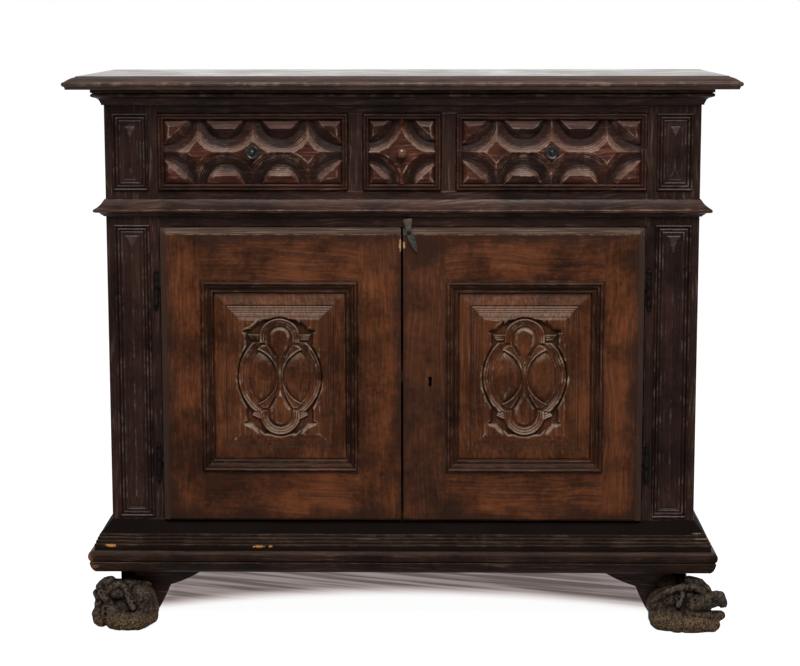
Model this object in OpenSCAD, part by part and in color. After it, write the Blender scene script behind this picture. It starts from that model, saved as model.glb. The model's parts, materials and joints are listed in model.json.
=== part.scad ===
// Walnut credenza: a low cupboard with two panelled doors, three carved drawers,
// mitred mouldings and lion-paw front feet. Millimetres, +Z up, front towards -Y.
// The origin is on the floor, under the middle of the whole piece.

/* [Body] */
// Width over the front posts
body_w = 1120; // [1000:1:1250]
// Depth from the posts' front to the back boards
body_d = 420; // [380:1:480]
// Width of each front post, seen from the front
post_w = 100; // [90:1:110]
// Thickness of the front posts
post_t = 45; // [40:1:55]
// Side of the square back posts
back_post = 45; // [40:1:55]
// Thickness of the front rails
rail_t = 26; // [22:1:30]
// Thickness of the side rails
side_t = 25; // [23:1:30]
// Thickness of the side panels
side_panel_t = 10; // [8:0.5:11]
// Depth of every panel groove
groove_d = 8; // [6:0.5:9]
// Length of the front rails' tenons
tenon_l = 30; // [20:1:40]
// Thickness of the tenons
tenon_t = 9; // [8:0.5:11]
// Height of the side rail that shows above the plinth
side_rail_show = 40; // [30:1:60]

/* [Top board] */
// Thickness of the top board
top_t = 24.5; // [22:0.5:30]
// Overhang of the top board's nose beyond the body
top_over = 68; // [64:1:76]
// Overhang of the top board's flat upper face
top_flat_over = 44; // [38:1:50]
// Radius of the top board's nose
nose_r = 4.5; // [3:0.25:5]
// Height of the nose's middle above the board's underside
nose_mid = 10; // [8:0.5:12]

/* [Mouldings] */
// Gap of a glued joint between two lengths or boards of one piece
glue_gap = 0.1; // [0.05:0.05:0.2]
// Height of the cornice under the top board
cornice_h = 30.5; // [24:0.5:38]
// Projection of the cornice
cornice_out = 22; // [16:1:28]
// Height of the waist moulding
waist_h = 32.5; // [26:0.5:38]
// Projection of the waist moulding
waist_out = 22; // [16:1:26]
// Distance from the waist rail's top to its moulding
waist_drop = 16; // [12:0.5:20]
// Height of the plinth moulding
plinth_h = 97.5; // [88:0.5:110]
// Projection of the plinth moulding
plinth_out = 43; // [36:1:48]

/* [Front openings] */
// Height of the frieze rail above the drawers
frieze_h = 45.5; // [40:0.5:55]
// Height of the drawer openings
drawer_open_h = 146; // [130:1:160]
// Width of the middle drawer's opening
center_open_w = 148; // [140:1:160]
// Width of the dividers between the drawers
divider_w = 27; // [22:1:32]
// Height of the waist rail between drawers and doors
waist_rail_h = 68; // [60:1:76]
// Height of the door opening
door_open_h = 566.5; // [520:0.5:620]

/* [Doors] */
// Thickness of the door frames
door_t = 28; // [26:1:30]
// Distance that the doors stand proud of the posts
door_proud = 14; // [12:0.5:15]
// Gap between a door and the posts
door_gap = 2; // [1.5:0.25:2.5]
// Gap above and below a door
door_gap_z = 1.2; // [0.8:0.1:2]
// Gap between the two doors
door_mid_gap = 4; // [3:0.5:6]
// Width of the hinge stile
hinge_stile_w = 75; // [70:1:84]
// Width of the meeting stile
meeting_stile_w = 80.5; // [74:0.5:88]
// Height of the door's top rail
top_rail_w = 99.5; // [90:0.5:108]
// Height of the door's bottom rail
bottom_rail_w = 94.5; // [86:0.5:104]
// Length of the door rails' tenons
door_tenon_l = 40; // [30:1:50]
// Width of the bevel round a door's outer edges
lip_w = 11; // [8:0.5:13]
// Depth of the bevel at the door's edge
lip_d = 6; // [3:0.5:6.5]
// Width of the moulding round the door panel
bead_w = 24; // [20:0.5:26]
// Height of that moulding above the door frame
bead_rise = 8; // [5:0.5:9]
// Thickness of the door panel's edge in its groove
panel_edge_t = 8; // [6:0.5:9]
// Depth of the panel's edge behind the door's face
panel_back = 8; // [6:0.5:9]
// Flat margin between the moulding and the raised field
panel_margin = 26; // [20:0.5:30]
// Width of the slope round the raised field
hip_run = 18; // [14:0.5:22]
// Height of the raised field above the panel's flat
hip_rise = 9; // [7:0.5:11]
// Depth of the carving in the raised field
carve_d = 6; // [3:0.5:6.5]

/* [Carved straps] */
// Distance from the carving's middle to the centre of each round lobe
lobe_z = 77; // [74:0.5:80]
// Outer radius of the lobes
lobe_r = 35; // [33:0.5:36]
// Width of the carved strap
strap_w = 11; // [9:0.5:12]
// Outer radius of the big side arcs
side_arc_r = 81; // [79:0.5:83]
// Reach of the side arcs from the carving's middle
side_arc_reach = 72; // [70:0.5:74]
// Radius of the inner arcs that cross in the middle
waist_arc_r = 59; // [56:0.5:62]
// Width of the inner arcs
waist_arc_w = 8; // [6:0.5:9]
// Distance that an inner arc runs past the carving's middle
waist_arc_past = 2; // [1.5:0.5:3]
// Gap between a raised pillow and the straps round it
pillow_gap = 1.5; // [1:0.25:2.5]
// Radius of the oval pillows' sides
pillow_r = 47; // [46:0.5:50]

/* [Drawers] */
// Distance that the drawer fronts stand proud of the posts
drawer_proud = 8; // [6:0.5:9]
// Thickness of a drawer front
drawer_front_t = 24; // [22:0.5:26]
// Gap between a drawer front and its opening
drawer_gap = 1.5; // [1:0.25:2.5]
// Running clearance under and beside a drawer box
run_clear = 0.3; // [0.25:0.05:0.5]
// Thickness of the drawer sides and backs
drawer_wall = 12; // [10:0.5:14]
// Thickness of the drawer bottoms
drawer_bottom_t = 8; // [6:0.5:10]
// Height of the drawer bottoms above the drawers' lowest edge
drawer_bottom_up = 8; // [5:0.5:12]
// Distance from the drawer openings' top down to the drawer sides
drawer_box_drop = 22; // [16:1:40]
// Space between the drawer boxes and the back boards
drawer_back_gap = 26; // [15:1:60]
// Border round the carved field of a drawer front
field_border = 10; // [8:0.5:12]
// Depth of the carved rings
ring_d = 9; // [6:0.5:10]
// Ridge radius of the half rings on the wide drawers
ring_r = 61; // [58:0.5:61.5]
// Ridge radius of the quarter rings in the corners
corner_ring_r = 73; // [70:0.5:76]
// Distance between the two columns of half rings
ring_pitch = 105; // [98:0.5:112]
// Width of a ring's outer slope
ring_slope = 23; // [20:0.5:25]
// Width of a ring's inner slope
ring_inner = 7; // [5:0.5:8]

/* [Knobs] */
// Diameter of the turned knobs on the wide drawers
knob_d = 27; // [24:0.5:32]
// Diameter of the middle drawer's ball knob
ball_d = 21; // [18:0.5:24]
// Diameter of a knob's dowel in the drawer front
dowel_d = 8; // [6:0.5:10]
// Depth of the dowel's hole
dowel_l = 14; // [10:1:18]

/* [Hinges] */
// Diameter of the hinge barrels
barrel_d = 9.5; // [8:0.25:10]
// Distance from the opening's edge out to the hinge axis
axis_out = 7; // [6.25:0.25:8]
// Distance from the posts' front out to the hinge axis
axis_proud = 5.5; // [5.25:0.25:6]
// Height of one hinge over both barrels
hinge_h = 64; // [56:1:72]
// Diameter of the hinge pins
pin_d = 4.9; // [4.4:0.1:5]
// Radial clearance of pins and screws in what turns on them
pin_clear = 0.05; // [0.03:0.01:0.1]
// Height of the hinge pins above the fixed barrel
pin_h = 28; // [22:1:29]
// Distance from the door opening's top to the upper hinges' middle
hinge_top_drop = 119.5; // [110:0.5:130]
// Distance from the door opening's bottom to the lower hinges' middle
hinge_bottom_rise = 111; // [100:0.5:120]
// Thickness of the hinge leaves
leaf_t = 2; // [1.5:0.25:2.5]
// Depth of a leaf in the wood
leaf_l = 28; // [22:1:34]
// Diameter of the ball at a barrel's end
finial_d = 7; // [6:0.25:8]

/* [Lock and latch] */
// Distance from the right door's edge to the keyhole
keyhole_in = 51.4; // [44:0.5:58]
// Height of the keyhole's middle above the door opening's bottom
keyhole_up = 271.5; // [250:0.5:300]
// Diameter of the keyhole's round top
keyhole_d = 8; // [7:0.25:9]
// Height of the whole keyhole
keyhole_h = 21; // [18:0.5:24]
// Width of the keyhole's slot
keyslot_w = 5; // [4.5:0.25:6]
// Width of the lock case
lock_w = 74; // [66:1:76]
// Height of the lock case
lock_h = 72; // [66:1:80]
// Depth of the lock case
lock_d = 14; // [13:0.5:15]
// Wall of the lock case
lock_wall = 1.6; // [1.2:0.1:2]
// Height of the bolt
bolt_h = 16; // [12:0.5:18]
// Thickness of the bolt
bolt_t = 6; // [5:0.5:7]
// Length of the bolt
bolt_l = 52; // [46:1:54]
// Clearance of the bolt in the lock case
bolt_clear = 0.25; // [0.2:0.05:0.4]
// Distance from the right door's edge to the latch screw
latch_in = 11; // [10:0.5:13]
// Distance from the door opening's top down to the latch screw
latch_down = 9; // [8:0.5:11]
// Thickness of the latch
latch_t = 3.5; // [2.5:0.25:4]
// Diameter of the latch screw's shank
latch_screw_d = 5; // [4:0.25:5.5]
// Length of the latch's blade below its screw
blade_l = 42; // [34:1:48]
// Width of the latch's blade
blade_w = 13; // [11:0.5:15]
// Length of the latch's tail above its screw
tail_l = 26; // [20:0.5:26.5]
// Width of the latch's tail at its top
tail_w = 18; // [14:0.5:20]
// Lean of the latch at rest, towards the right door
latch_lean = 22; // [10:1:30]

/* [Pilasters] */
// Distance from a post's outer edge to its moulded panel
pilaster_out = 14; // [12:0.5:18]
// Width of the moulded panels on the posts
pilaster_w = 68.5; // [60:0.5:70]
// Gap between the moulded panels and the moulding above or below them
pilaster_margin = 15.5; // [12:0.5:18]
// Gap between the lower moulded panels and the plinth
pilaster_foot = 4.5; // [2:0.5:10]
// Projection of the moulded panels
pilaster_rise = 6; // [4:0.5:7]
// Thickness of their backing
pilaster_plate = 2; // [1.5:0.25:3]
// Width of their outer frame
pilaster_frame = 10; // [8:0.5:12]
// Width of the flat on that frame
pilaster_lip = 2; // [1:0.5:4]
// Width of the bevel round that frame
pilaster_bevel = 1.5; // [1:0.25:2.5]
// Width of the flat between frame and pyramid
pilaster_flat = 5; // [3:0.5:7]

/* [Inside] */
// Thickness of the back boards
back_t = 12; // [10:0.5:15]
// Number of the back boards
back_count = 6; // [4:1:8]
// Gap between two back boards
back_gap = 0.6; // [0.3:0.1:0.9]
// Width of the back posts' rebates
rebate_w = 15; // [10:1:20]
// Thickness of the cupboard's floor
floor_t = 18; // [15:1:22]
// Thickness of the board under the drawers
dust_t = 18; // [15:1:22]
// Thickness of the shelf
shelf_t = 20; // [16:1:24]
// Height of the shelf's top above the cupboard's floor
shelf_up = 282; // [220:1:340]
// Height of the shelf cleats
cleat_h = 30; // [22:1:40]
// Width of the shelf cleats
cleat_w = 20; // [15:1:25]
// Height of the drawer guides
guide_h = 30; // [20:1:40]
// Width of the outer drawer guides
guide_w = 18; // [14:1:24]

/* [Feet] */
// Height of the feet
foot_h = 114; // [110:1:120]
// Distance from the body's outer faces in to the feet's boards
foot_in = 12; // [8:1:20]
// Thickness of the feet's boards
foot_board_t = 28; // [24:1:34]
// Length of the front feet's boards
foot_l = 160; // [140:1:180]
// Distance from the paw's middle in from the body's side
paw_in = 29; // [27:1:36]
// Distance from the paw's middle out from the posts' front
paw_proud = 3; // [0:0.5:5]
// Reach of a paw from its middle
paw_reach = 62; // [56:1:64]
// Side of the back feet
back_foot = 60; // [50:1:75]

/* [Hidden] */
half = body_w / 2;
open_half = half - post_w;
front_y = (top_over - body_d) / 2;
back_y = front_y + body_d;
rail_back = front_y + rail_t;
post_back = front_y + post_t;
boards_y = back_y - back_t;

z_foot = foot_h;
z_plinth = z_foot + plinth_h;
z_doors = z_plinth + door_open_h;
z_waist = z_doors + waist_rail_h;
z_drawers = z_waist + drawer_open_h;
z_body = z_drawers + frieze_h;

center_half = center_open_w / 2;
side_open_w = open_half - center_half - divider_w;
side_open_x = center_half + divider_w + side_open_w / 2;

door_x0 = door_mid_gap / 2;
door_x1 = open_half - door_gap;
door_z0 = z_plinth + door_gap_z;
door_z1 = z_doors - door_gap_z;
door_y = front_y - door_proud;
door_back = door_y + door_t;
panel_x0 = door_x0 + meeting_stile_w;
panel_x1 = door_x1 - hinge_stile_w;
panel_z0 = door_z0 + bottom_rail_w;
panel_z1 = door_z1 - top_rail_w;
panel_w = panel_x1 - panel_x0;
panel_h = panel_z1 - panel_z0;
panel_y = door_y + panel_back;
panel_mid = [(panel_x0 + panel_x1) / 2, panel_y, (panel_z0 + panel_z1) / 2];
field_w = panel_w - 2 * (bead_w + panel_margin);
field_h = panel_h - 2 * (bead_w + panel_margin);
panel_flat = 2;
carve_y = -panel_flat - hip_rise;
ground_in = 3;

drawer_y = front_y - drawer_proud;
drawer_back = drawer_y + drawer_front_t;
drawer_field_h = drawer_open_h - 2 * (drawer_gap + field_border);
drawer_z = z_waist + drawer_open_h / 2;

axis_x = open_half + axis_out;
axis_y = front_y - axis_proud;
hinge_z = [z_doors - hinge_top_drop, z_plinth + hinge_bottom_rise];
barrel_gap = 0.3;
leaf_end = 2;

keyhole_x = door_x0 + keyhole_in;
keyhole_z = z_plinth + keyhole_up;
lock_x = door_x0 + 2;
lock_z0 = keyhole_z - 28;
bolt_y = door_back + (lock_d - lock_wall - bolt_t) / 2;
bolt_z = keyhole_z + keyhole_h / 2 + 3;

latch_x = door_x0 + latch_in;
latch_z = z_doors - latch_down;
latch_back = door_y - run_clear;
latch_front = latch_back - latch_t;

pilaster_x = half - pilaster_out - pilaster_w / 2;
pyramid_in = pilaster_frame + pilaster_flat;

floor_z = z_plinth;
shelf_z = floor_z + shelf_up;
side_panel_x = half - side_t + (side_t - side_panel_t) / 2;
back_z0 = z_foot + side_rail_show;
back_step = (z_body - back_z0 + back_gap) / back_count;

foot_y = front_y + foot_in;
foot_x = half - foot_in;
paw_x = half - paw_in;
paw_y = front_y - paw_proud;
eps = 1;

walnut_dark = [0.16, 0.10, 0.08];
walnut_door = [0.30, 0.16, 0.10];
walnut_red = [0.26, 0.13, 0.10];
plain_wood = [0.42, 0.30, 0.20];
iron = [0.20, 0.18, 0.17];
bronze = [0.36, 0.34, 0.28];

// Points of a shallow curve from a to b; sag is its offset to the left of that way
function bow(a, b, sag, n = 6) =
    let (d = b - a, side = [-d[1], d[0]] / norm(d))
    [for (i = [0 : n]) a + d * i / n + side * 4 * sag * (i / n) * (1 - i / n)];

// Points of an elliptical arc round c, with radii r, from angle a0 to a1
function arc(c, r, a0, a1, n = 8) =
    [for (i = [0 : n]) let (a = a0 + (a1 - a0) * i / n) c + [r[0] * cos(a), r[1] * sin(a)]];

// A profile in shares of its projection and its height, brought to real size
function sized(shares, out, h) = [for (p = shares) [p[0] * out, p[1] * h]];

// Moulding profiles as [out from the body, up from the moulding's foot]
top_profile = concat(
    [[0, 0], [top_over - nose_r - 2, 0]],
    arc([top_over - nose_r, nose_mid], [nose_r, nose_r], -90, 90),
    bow([top_over - nose_r - 1, nose_mid + nose_r + 0.5], [top_flat_over + 1.5, top_t - 1.5], -1),
    [[top_flat_over, top_t], [0, top_t]]);
cornice_profile = sized(concat(
    [[0, 0], [0.2, 0], [0.2, 0.1]],
    bow([0.24, 0.12], [0.62, 0.46], 0.07),
    [[0.76, 0.48]],
    arc([0.78, 0.62], [0.22, 0.12], -80, 80),
    [[0.86, 0.77], [1, 0.79], [1, 1], [0, 1]]), cornice_out, cornice_h);
waist_profile = sized(concat(
    [[0, 0], [0.2, 0.02], [0.24, 0.08]],
    bow([0.36, 0.12], [0.78, 0.26], 0.05),
    arc([0.88, 0.37], [0.12, 0.09], -90, 80),
    bow([0.84, 0.48], [0.16, 0.94], 0.05),
    [[0.12, 1], [0, 1]]), waist_out, waist_h);
plinth_profile = sized(concat(
    [[0, 0], [0.7, 0]],
    bow([0.74, 0.02], [0.94, 0.22], -0.03),
    [[0.9, 0.23]],
    arc([0.82, 0.33], [0.18, 0.1], -70, 90),
    [[0.72, 0.44], [0.72, 0.52], [0.66, 0.54]],
    bow([0.64, 0.56], [0.54, 0.7], -0.02),
    [[0.5, 0.72]],
    bow([0.46, 0.74], [0.08, 0.985], 0.015),
    [[0, 1]]), plinth_out, plinth_h);
bead_profile = concat(
    [[0, 0], [0, panel_back + 3], [1.5, panel_back + 3]],
    arc([5.5, panel_back + bead_rise - 4], [4, 4], 170, 10),
    [[10.5, panel_back + 3]],
    bow([11, panel_back + 2], [bead_w - 6, panel_back - 2], -1),
    arc([bead_w - 3, panel_back - 3], [3, 3], 140, 0, 5),
    [[bead_w, 0]]);

// A block from one corner to the opposite one
module block(a, b) {
    translate(a) cube(b - a);
}

// Flat shapes drawn as [Y, Z], [X, Z] and [X, Y], drawn out along the third direction
module along_x(x0, x1) {
    translate([x0, 0, 0]) rotate([90, 0, 90]) linear_extrude(x1 - x0) children();
}
module along_y(y0, y1) {
    translate([0, y1, 0]) rotate([90, 0, 0]) linear_extrude(y1 - y0) children();
}
module along_z(z0, z1) {
    translate([0, 0, z0]) linear_extrude(z1 - z0) children();
}

// The same shape on the left, s = -1, or the right, s = 1
module on_side(s) {
    mirror([s < 0 ? 1 : 0, 0, 0]) children();
}

// Front length of a moulding, mitred at both corners
module moulding_front(profile, z0, h, out) {
    m = out + eps;
    intersection() {
        translate([0, 0, z0]) along_x(-half - m, half + m)
            polygon([for (p = profile) [front_y - p[0], p[1]]]);
        along_z(z0 - eps, z0 + h + eps)
            polygon([[-half + eps, front_y + eps], [-half - m, front_y - m],
                [half + m, front_y - m], [half - eps, front_y + eps]]);
    }
}

// Return of a moulding along the right side, mitred at the front corner
module moulding_return(profile, z0, h, out) {
    m = out + eps;
    intersection() {
        translate([0, 0, z0]) along_y(front_y - m, back_y)
            polygon([for (p = profile) [half + p[0], p[1]]]);
        along_z(z0 - eps, z0 + h + eps)
            polygon([[half - eps, front_y + eps], [half + m, front_y - m],
                [half + m, back_y + eps], [half - eps, back_y + eps]]);
    }
}

// Rectangular moulded frame of four mitred lengths in the XZ plane; profile is [in, out to -Y]
module moulded_frame(w, h, width, profile, gap) {
    for (turn = [0, 1, 2, 3]) {
        long = turn % 2 == 0 ? w : h;
        wide = turn % 2 == 0 ? h : w;
        rotate([0, 90 * turn, 0]) intersection() {
            translate([0, 0, wide / 2]) along_x(-long / 2, long / 2)
                polygon([for (p = profile) [-p[1], -p[0]]]);
            along_y(-50, 50) polygon([[-long / 2 + gap, wide / 2], [long / 2 - gap, wide / 2],
                [long / 2 - width - gap, wide / 2 - width],
                [-long / 2 + width + gap, wide / 2 - width]]);
        }
    }
}

// Block with four equal slopes, its base w by h in the XZ plane, rising towards -Y
module hipped(w, h, rise, run) {
    intersection() {
        along_z(-h / 2 - eps, h / 2 + eps) polygon([[-w / 2, 0], [w / 2, 0],
            [w / 2 - run, -rise], [-w / 2 + run, -rise]]);
        along_x(-w / 2 - eps, w / 2 + eps) polygon([[0, -h / 2], [0, h / 2],
            [-rise, h / 2 - run], [-rise, -h / 2 + run]]);
    }
}

// Block with its front edges bevelled, w by h in the XZ plane, rising towards -Y
module bevelled(w, h, rise, bevel) {
    intersection() {
        along_z(-h / 2 - eps, h / 2 + eps) polygon([[-w / 2, 0], [w / 2, 0],
            [w / 2, bevel - rise], [w / 2 - bevel, -rise],
            [-w / 2 + bevel, -rise], [-w / 2, bevel - rise]]);
        along_x(-w / 2 - eps, w / 2 + eps) polygon([[0, -h / 2], [0, h / 2],
            [bevel - rise, h / 2], [-rise, h / 2 - bevel],
            [-rise, -h / 2 + bevel], [bevel - rise, -h / 2]]);
    }
}

// Pit with four equal slopes, its mouth w by h in the XZ plane, sinking towards +Y
module pit(w, h, depth, run) {
    mirror([0, 1, 0]) hipped(w, h, depth, run);
}

// The space that the four posts take, for boards that are notched round them
module post_space() {
    for (s = [-1, 1]) on_side(s) {
        block([open_half, front_y - eps, z_foot], [half + eps, post_back, z_body]);
        block([half - back_post, back_y - back_post, z_foot], [half + eps, back_y + eps, z_body]);
    }
}

module top_board() {
    inner = [for (i = [1 : len(top_profile) - 2]) top_profile[i]];
    count = len(inner);
    color(walnut_dark) translate([0, 0, z_body]) intersection() {
        along_x(-half - top_over - eps, half + top_over + eps)
            polygon(concat([[back_y, 0]], [for (p = inner) [front_y - p[0], p[1]]],
                [[back_y, top_t]]));
        along_y(front_y - top_over - eps, back_y + eps)
            polygon(concat([for (p = inner) [half + p[0], p[1]]],
                [for (i = [count - 1 : -1 : 0]) [-half - inner[i][0], inner[i][1]]]));
    }
}

module cornice_front() {
    color(walnut_dark) moulding_front(cornice_profile, z_body - cornice_h, cornice_h, cornice_out);
}
module cornice_side(s) {
    color(walnut_dark) on_side(s)
        moulding_return(cornice_profile, z_body - cornice_h, cornice_h, cornice_out);
}

module waist_moulding_front() {
    color(walnut_dark)
        moulding_front(waist_profile, z_waist - waist_drop - waist_h, waist_h, waist_out);
}
module waist_moulding_side(s) {
    color(walnut_dark) on_side(s)
        moulding_return(waist_profile, z_waist - waist_drop - waist_h, waist_h, waist_out);
}

module plinth_front() {
    color(walnut_dark) moulding_front(plinth_profile, z_foot, plinth_h, plinth_out);
}
module plinth_side(s) {
    color(walnut_dark) on_side(s) moulding_return(plinth_profile, z_foot, plinth_h, plinth_out);
}

// Tenon of a front rail on the right end, and the mortise that it fills
module rail_tenon(z0, z1) {
    mid = front_y + rail_t / 2;
    block([open_half, mid - tenon_t / 2, z0 + (z1 - z0) / 5],
        [open_half + tenon_l, mid + tenon_t / 2, z1 - (z1 - z0) / 5]);
}
module front_rail(z0, z1) {
    color(walnut_dark) union() {
        block([-open_half, front_y, z0], [open_half, rail_back, z1]);
        for (s = [-1, 1]) on_side(s) rail_tenon(z0, z1);
    }
}
module frieze_rail() { front_rail(z_drawers, z_body); }
module waist_rail() { front_rail(z_doors, z_waist); }
module door_sill_rail() { front_rail(z_foot, z_plinth); }

module drawer_dividers() {
    color(walnut_dark) for (s = [-1, 1]) on_side(s)
        block([center_half, front_y, z_waist], [center_half + divider_w, rail_back, z_drawers]);
}

module post_front(s) {
    color(walnut_dark) on_side(s) difference() {
        block([open_half, front_y, z_foot], [half, post_back, z_body]);
        rail_tenon(z_drawers, z_body);
        rail_tenon(z_doors, z_waist);
        rail_tenon(z_foot, z_plinth);
        for (span = side_spans)
            block([side_panel_x, post_back - groove_d, span[0] - groove_d],
                [side_panel_x + side_panel_t, post_back + eps, span[1] + groove_d]);
        for (z = hinge_z) hook_leaf(z);
    }
}

module back_posts() {
    color(plain_wood) for (s = [-1, 1]) on_side(s) difference() {
        block([half - back_post, back_y - back_post, z_foot], [half, back_y, z_body]);
        block([half - back_post - eps, boards_y, back_z0], [half - back_post + rebate_w,
            back_y + eps, z_body + eps]);
        for (span = side_spans)
            block([side_panel_x, back_y - back_post - eps, span[0] - groove_d],
                [side_panel_x + side_panel_t, back_y - back_post + groove_d, span[1] + groove_d]);
    }
}

// Moulded panel on a front post: a frame round a long hipped pyramid
module pilaster_panel(s, z0, z1) {
    w = pilaster_w;
    h = z1 - z0;
    mouth_in = pilaster_bevel + pilaster_lip;
    pit_run = pilaster_frame - mouth_in;
    pit_d = pilaster_rise - pilaster_plate;
    slope = pit_d / pit_run;
    color(walnut_dark) on_side(s) translate([pilaster_x, front_y, (z0 + z1) / 2]) union() {
        difference() {
            bevelled(w, h, pilaster_rise, pilaster_bevel);
            translate([0, -pilaster_rise - eps, 0])
                pit(w - 2 * mouth_in + 2 * eps / slope, h - 2 * mouth_in + 2 * eps / slope,
                    pit_d + eps, pit_run + eps / slope);
        }
        translate([0, -pilaster_plate + 0.5, 0])
            hipped(w - 2 * pyramid_in, h - 2 * pyramid_in, pit_d + 0.5, w / 2 - pyramid_in - 1);
    }
}
module pilaster_panel_upper(s) {
    pilaster_panel(s, z_waist - waist_drop + pilaster_margin, z_body - cornice_h - pilaster_margin);
}
module pilaster_panel_lower(s) {
    pilaster_panel(s, z_plinth + pilaster_foot,
        z_waist - waist_drop - waist_h - pilaster_margin);
}

// Heights between which the side panels show
side_spans = [[z_plinth + side_rail_show, z_doors], [z_waist, z_drawers]];
side_y0 = post_back;
side_y1 = back_y - back_post;

module side_rails(s) {
    levels = [[z_foot, z_plinth + side_rail_show], [z_doors, z_waist], [z_drawers, z_body]];
    color(walnut_dark) on_side(s) for (level = levels) difference() {
        block([half - side_t, side_y0, level[0]], [half, side_y1, level[1]]);
        for (span = side_spans)
            block([side_panel_x, side_y0 - eps, span[0] - groove_d],
                [side_panel_x + side_panel_t, side_y1 + eps, span[1] + groove_d]);
    }
}

module side_panels(s) {
    color(walnut_dark) on_side(s) for (span = side_spans)
        block([side_panel_x, side_y0 - groove_d, span[0] - groove_d],
            [side_panel_x + side_panel_t, side_y1 + groove_d, span[1] + groove_d]);
}

module back_boards() {
    reach = half - back_post + rebate_w;
    color(plain_wood) for (i = [0 : back_count - 1])
        block([-reach, boards_y, back_z0 + i * back_step],
            [reach, back_y, back_z0 + (i + 1) * back_step - back_gap]);
}

// Board that fills the carcass at one height, notched round the posts
module carcass_board(x1, y0, z1, t) {
    difference() {
        block([-x1, y0, z1 - t], [x1, boards_y, z1]);
        post_space();
    }
}
module floor_board() { color(plain_wood) carcass_board(half - side_t, rail_back, floor_z, floor_t); }
module dust_board() { color(plain_wood) carcass_board(half - side_t, rail_back, z_waist, dust_t); }
module shelf() {
    color(plain_wood) carcass_board(side_panel_x, post_back, shelf_z, shelf_t);
}
module shelf_cleats() {
    color(plain_wood) for (s = [-1, 1]) on_side(s)
        block([side_panel_x - cleat_w, side_y0, shelf_z - shelf_t - cleat_h],
            [side_panel_x, side_y1, shelf_z - shelf_t]);
}
module drawer_guides() {
    color(plain_wood) for (s = [-1, 1]) on_side(s) {
        block([open_half, post_back, z_waist], [open_half + guide_w, boards_y, z_waist + guide_h]);
        block([center_half, rail_back, z_waist],
            [center_half + divider_w, boards_y, z_waist + guide_h]);
    }
}

// Outline of a foot's board: a flat top edge and a long ogee down to the floor
function foot_outline(l, drop) = concat(
    [[0, drop], [0, foot_h], [l, foot_h]],
    bow([l, foot_h - 2], [l * 0.6, foot_h * 0.78], 6),
    bow([l * 0.58, foot_h * 0.76], [l * 0.42, drop], 4));

module paw_toe(turn) {
    joints = [[18, 78, 20], [paw_reach * 0.6, 64, 18.5], [paw_reach * 0.76, 34, 14.5],
        [paw_reach - 11, 11, 12]];
    rotate(turn) for (i = [0 : 2]) hull() for (joint = [joints[i], joints[i + 1]])
        translate([joint[0], 0, joint[1]]) sphere(joint[2], $fn = 16);
}

// Lion's paw that points along +X, its sole on the floor
module paw() {
    intersection() {
        union() {
            hull() {
                translate([-12, 0, 16]) cylinder(r = 44, h = 12, center = true, $fn = 32);
                translate([-8, 0, 60]) sphere(32, $fn = 16);
            }
            hull() {
                translate([-10, 0, 66]) sphere(28, $fn = 16);
                translate([-26, 0, foot_h - 16]) sphere(20, $fn = 16);
            }
            translate([-8, 0, 0]) cylinder(r = 46, h = 16, $fn = 32);
            for (turn = [-51, -17, 17, 51]) paw_toe(turn);
        }
        block([-paw_reach - 10, -paw_reach - 10, 0], [paw_reach, paw_reach + 10, foot_h]);
    }
}

module paw_foot(s) {
    color(walnut_dark) on_side(s) union() {
        translate([paw_x, paw_y, 0]) rotate(-45) paw();
        along_y(foot_y, foot_y + foot_board_t)
            polygon([for (p = foot_outline(foot_l, 14)) [foot_x - p[0], p[1]]]);
        along_x(foot_x - foot_board_t, foot_x)
            polygon([for (p = foot_outline(foot_l, 14)) [foot_y + p[0], p[1]]]);
    }
}

module back_feet() {
    rear = back_y - foot_in;
    color(walnut_dark) for (s = [-1, 1]) on_side(s) union() {
        block([foot_x - back_foot, rear - back_foot, 0], [foot_x, rear, foot_h]);
        along_x(foot_x - foot_board_t, foot_x)
            polygon([for (p = foot_outline(foot_l * 0.8, 0)) [rear - p[0], p[1]]]);
    }
}

// Leaves of one hinge, also cut from the wood that holds them
module hook_leaf(z) {
    block([axis_x - leaf_t / 2, axis_y, z - hinge_h / 2 + leaf_end],
        [axis_x + leaf_t / 2, front_y + leaf_l, z - leaf_end]);
}
module knuckle_leaf(z) {
    block([door_x1 - leaf_l, axis_y - leaf_t / 2, z + leaf_end],
        [axis_x - pin_d / 2 - 1, axis_y + leaf_t / 2, z + hinge_h / 2 - leaf_end]);
}

// Fixed half of the hinges: barrel, ball, pin and leaf
module hinge_hooks() {
    color(iron) for (s = [-1, 1], z = hinge_z) on_side(s) union() {
        translate([axis_x, axis_y, z - hinge_h / 2])
            cylinder(d = barrel_d, h = hinge_h / 2 - barrel_gap / 2, $fn = 48);
        translate([axis_x, axis_y, z - hinge_h / 2]) cylinder(d = pin_d, h = hinge_h / 2 + pin_h,
            $fn = 48);
        translate([axis_x, axis_y, z - hinge_h / 2 - finial_d * 0.35]) sphere(d = finial_d, $fn = 32);
        hook_leaf(z);
    }
}

// Turning half of the hinges on one door: barrel, ball and leaf, bored for the pin
module hinge_knuckles(s) {
    color(iron) on_side(s) for (z = hinge_z) difference() {
        union() {
            translate([axis_x, axis_y, z + barrel_gap / 2])
                cylinder(d = barrel_d, h = hinge_h / 2 - barrel_gap / 2, $fn = 48);
            translate([axis_x, axis_y, z + hinge_h / 2 + finial_d * 0.35])
                sphere(d = finial_d, $fn = 32);
            knuckle_leaf(z);
        }
        translate([axis_x, axis_y, z - eps]) cylinder(d = pin_d + 2 * pin_clear,
            h = pin_h + eps + 0.5, $fn = 48);
    }
}

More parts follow.
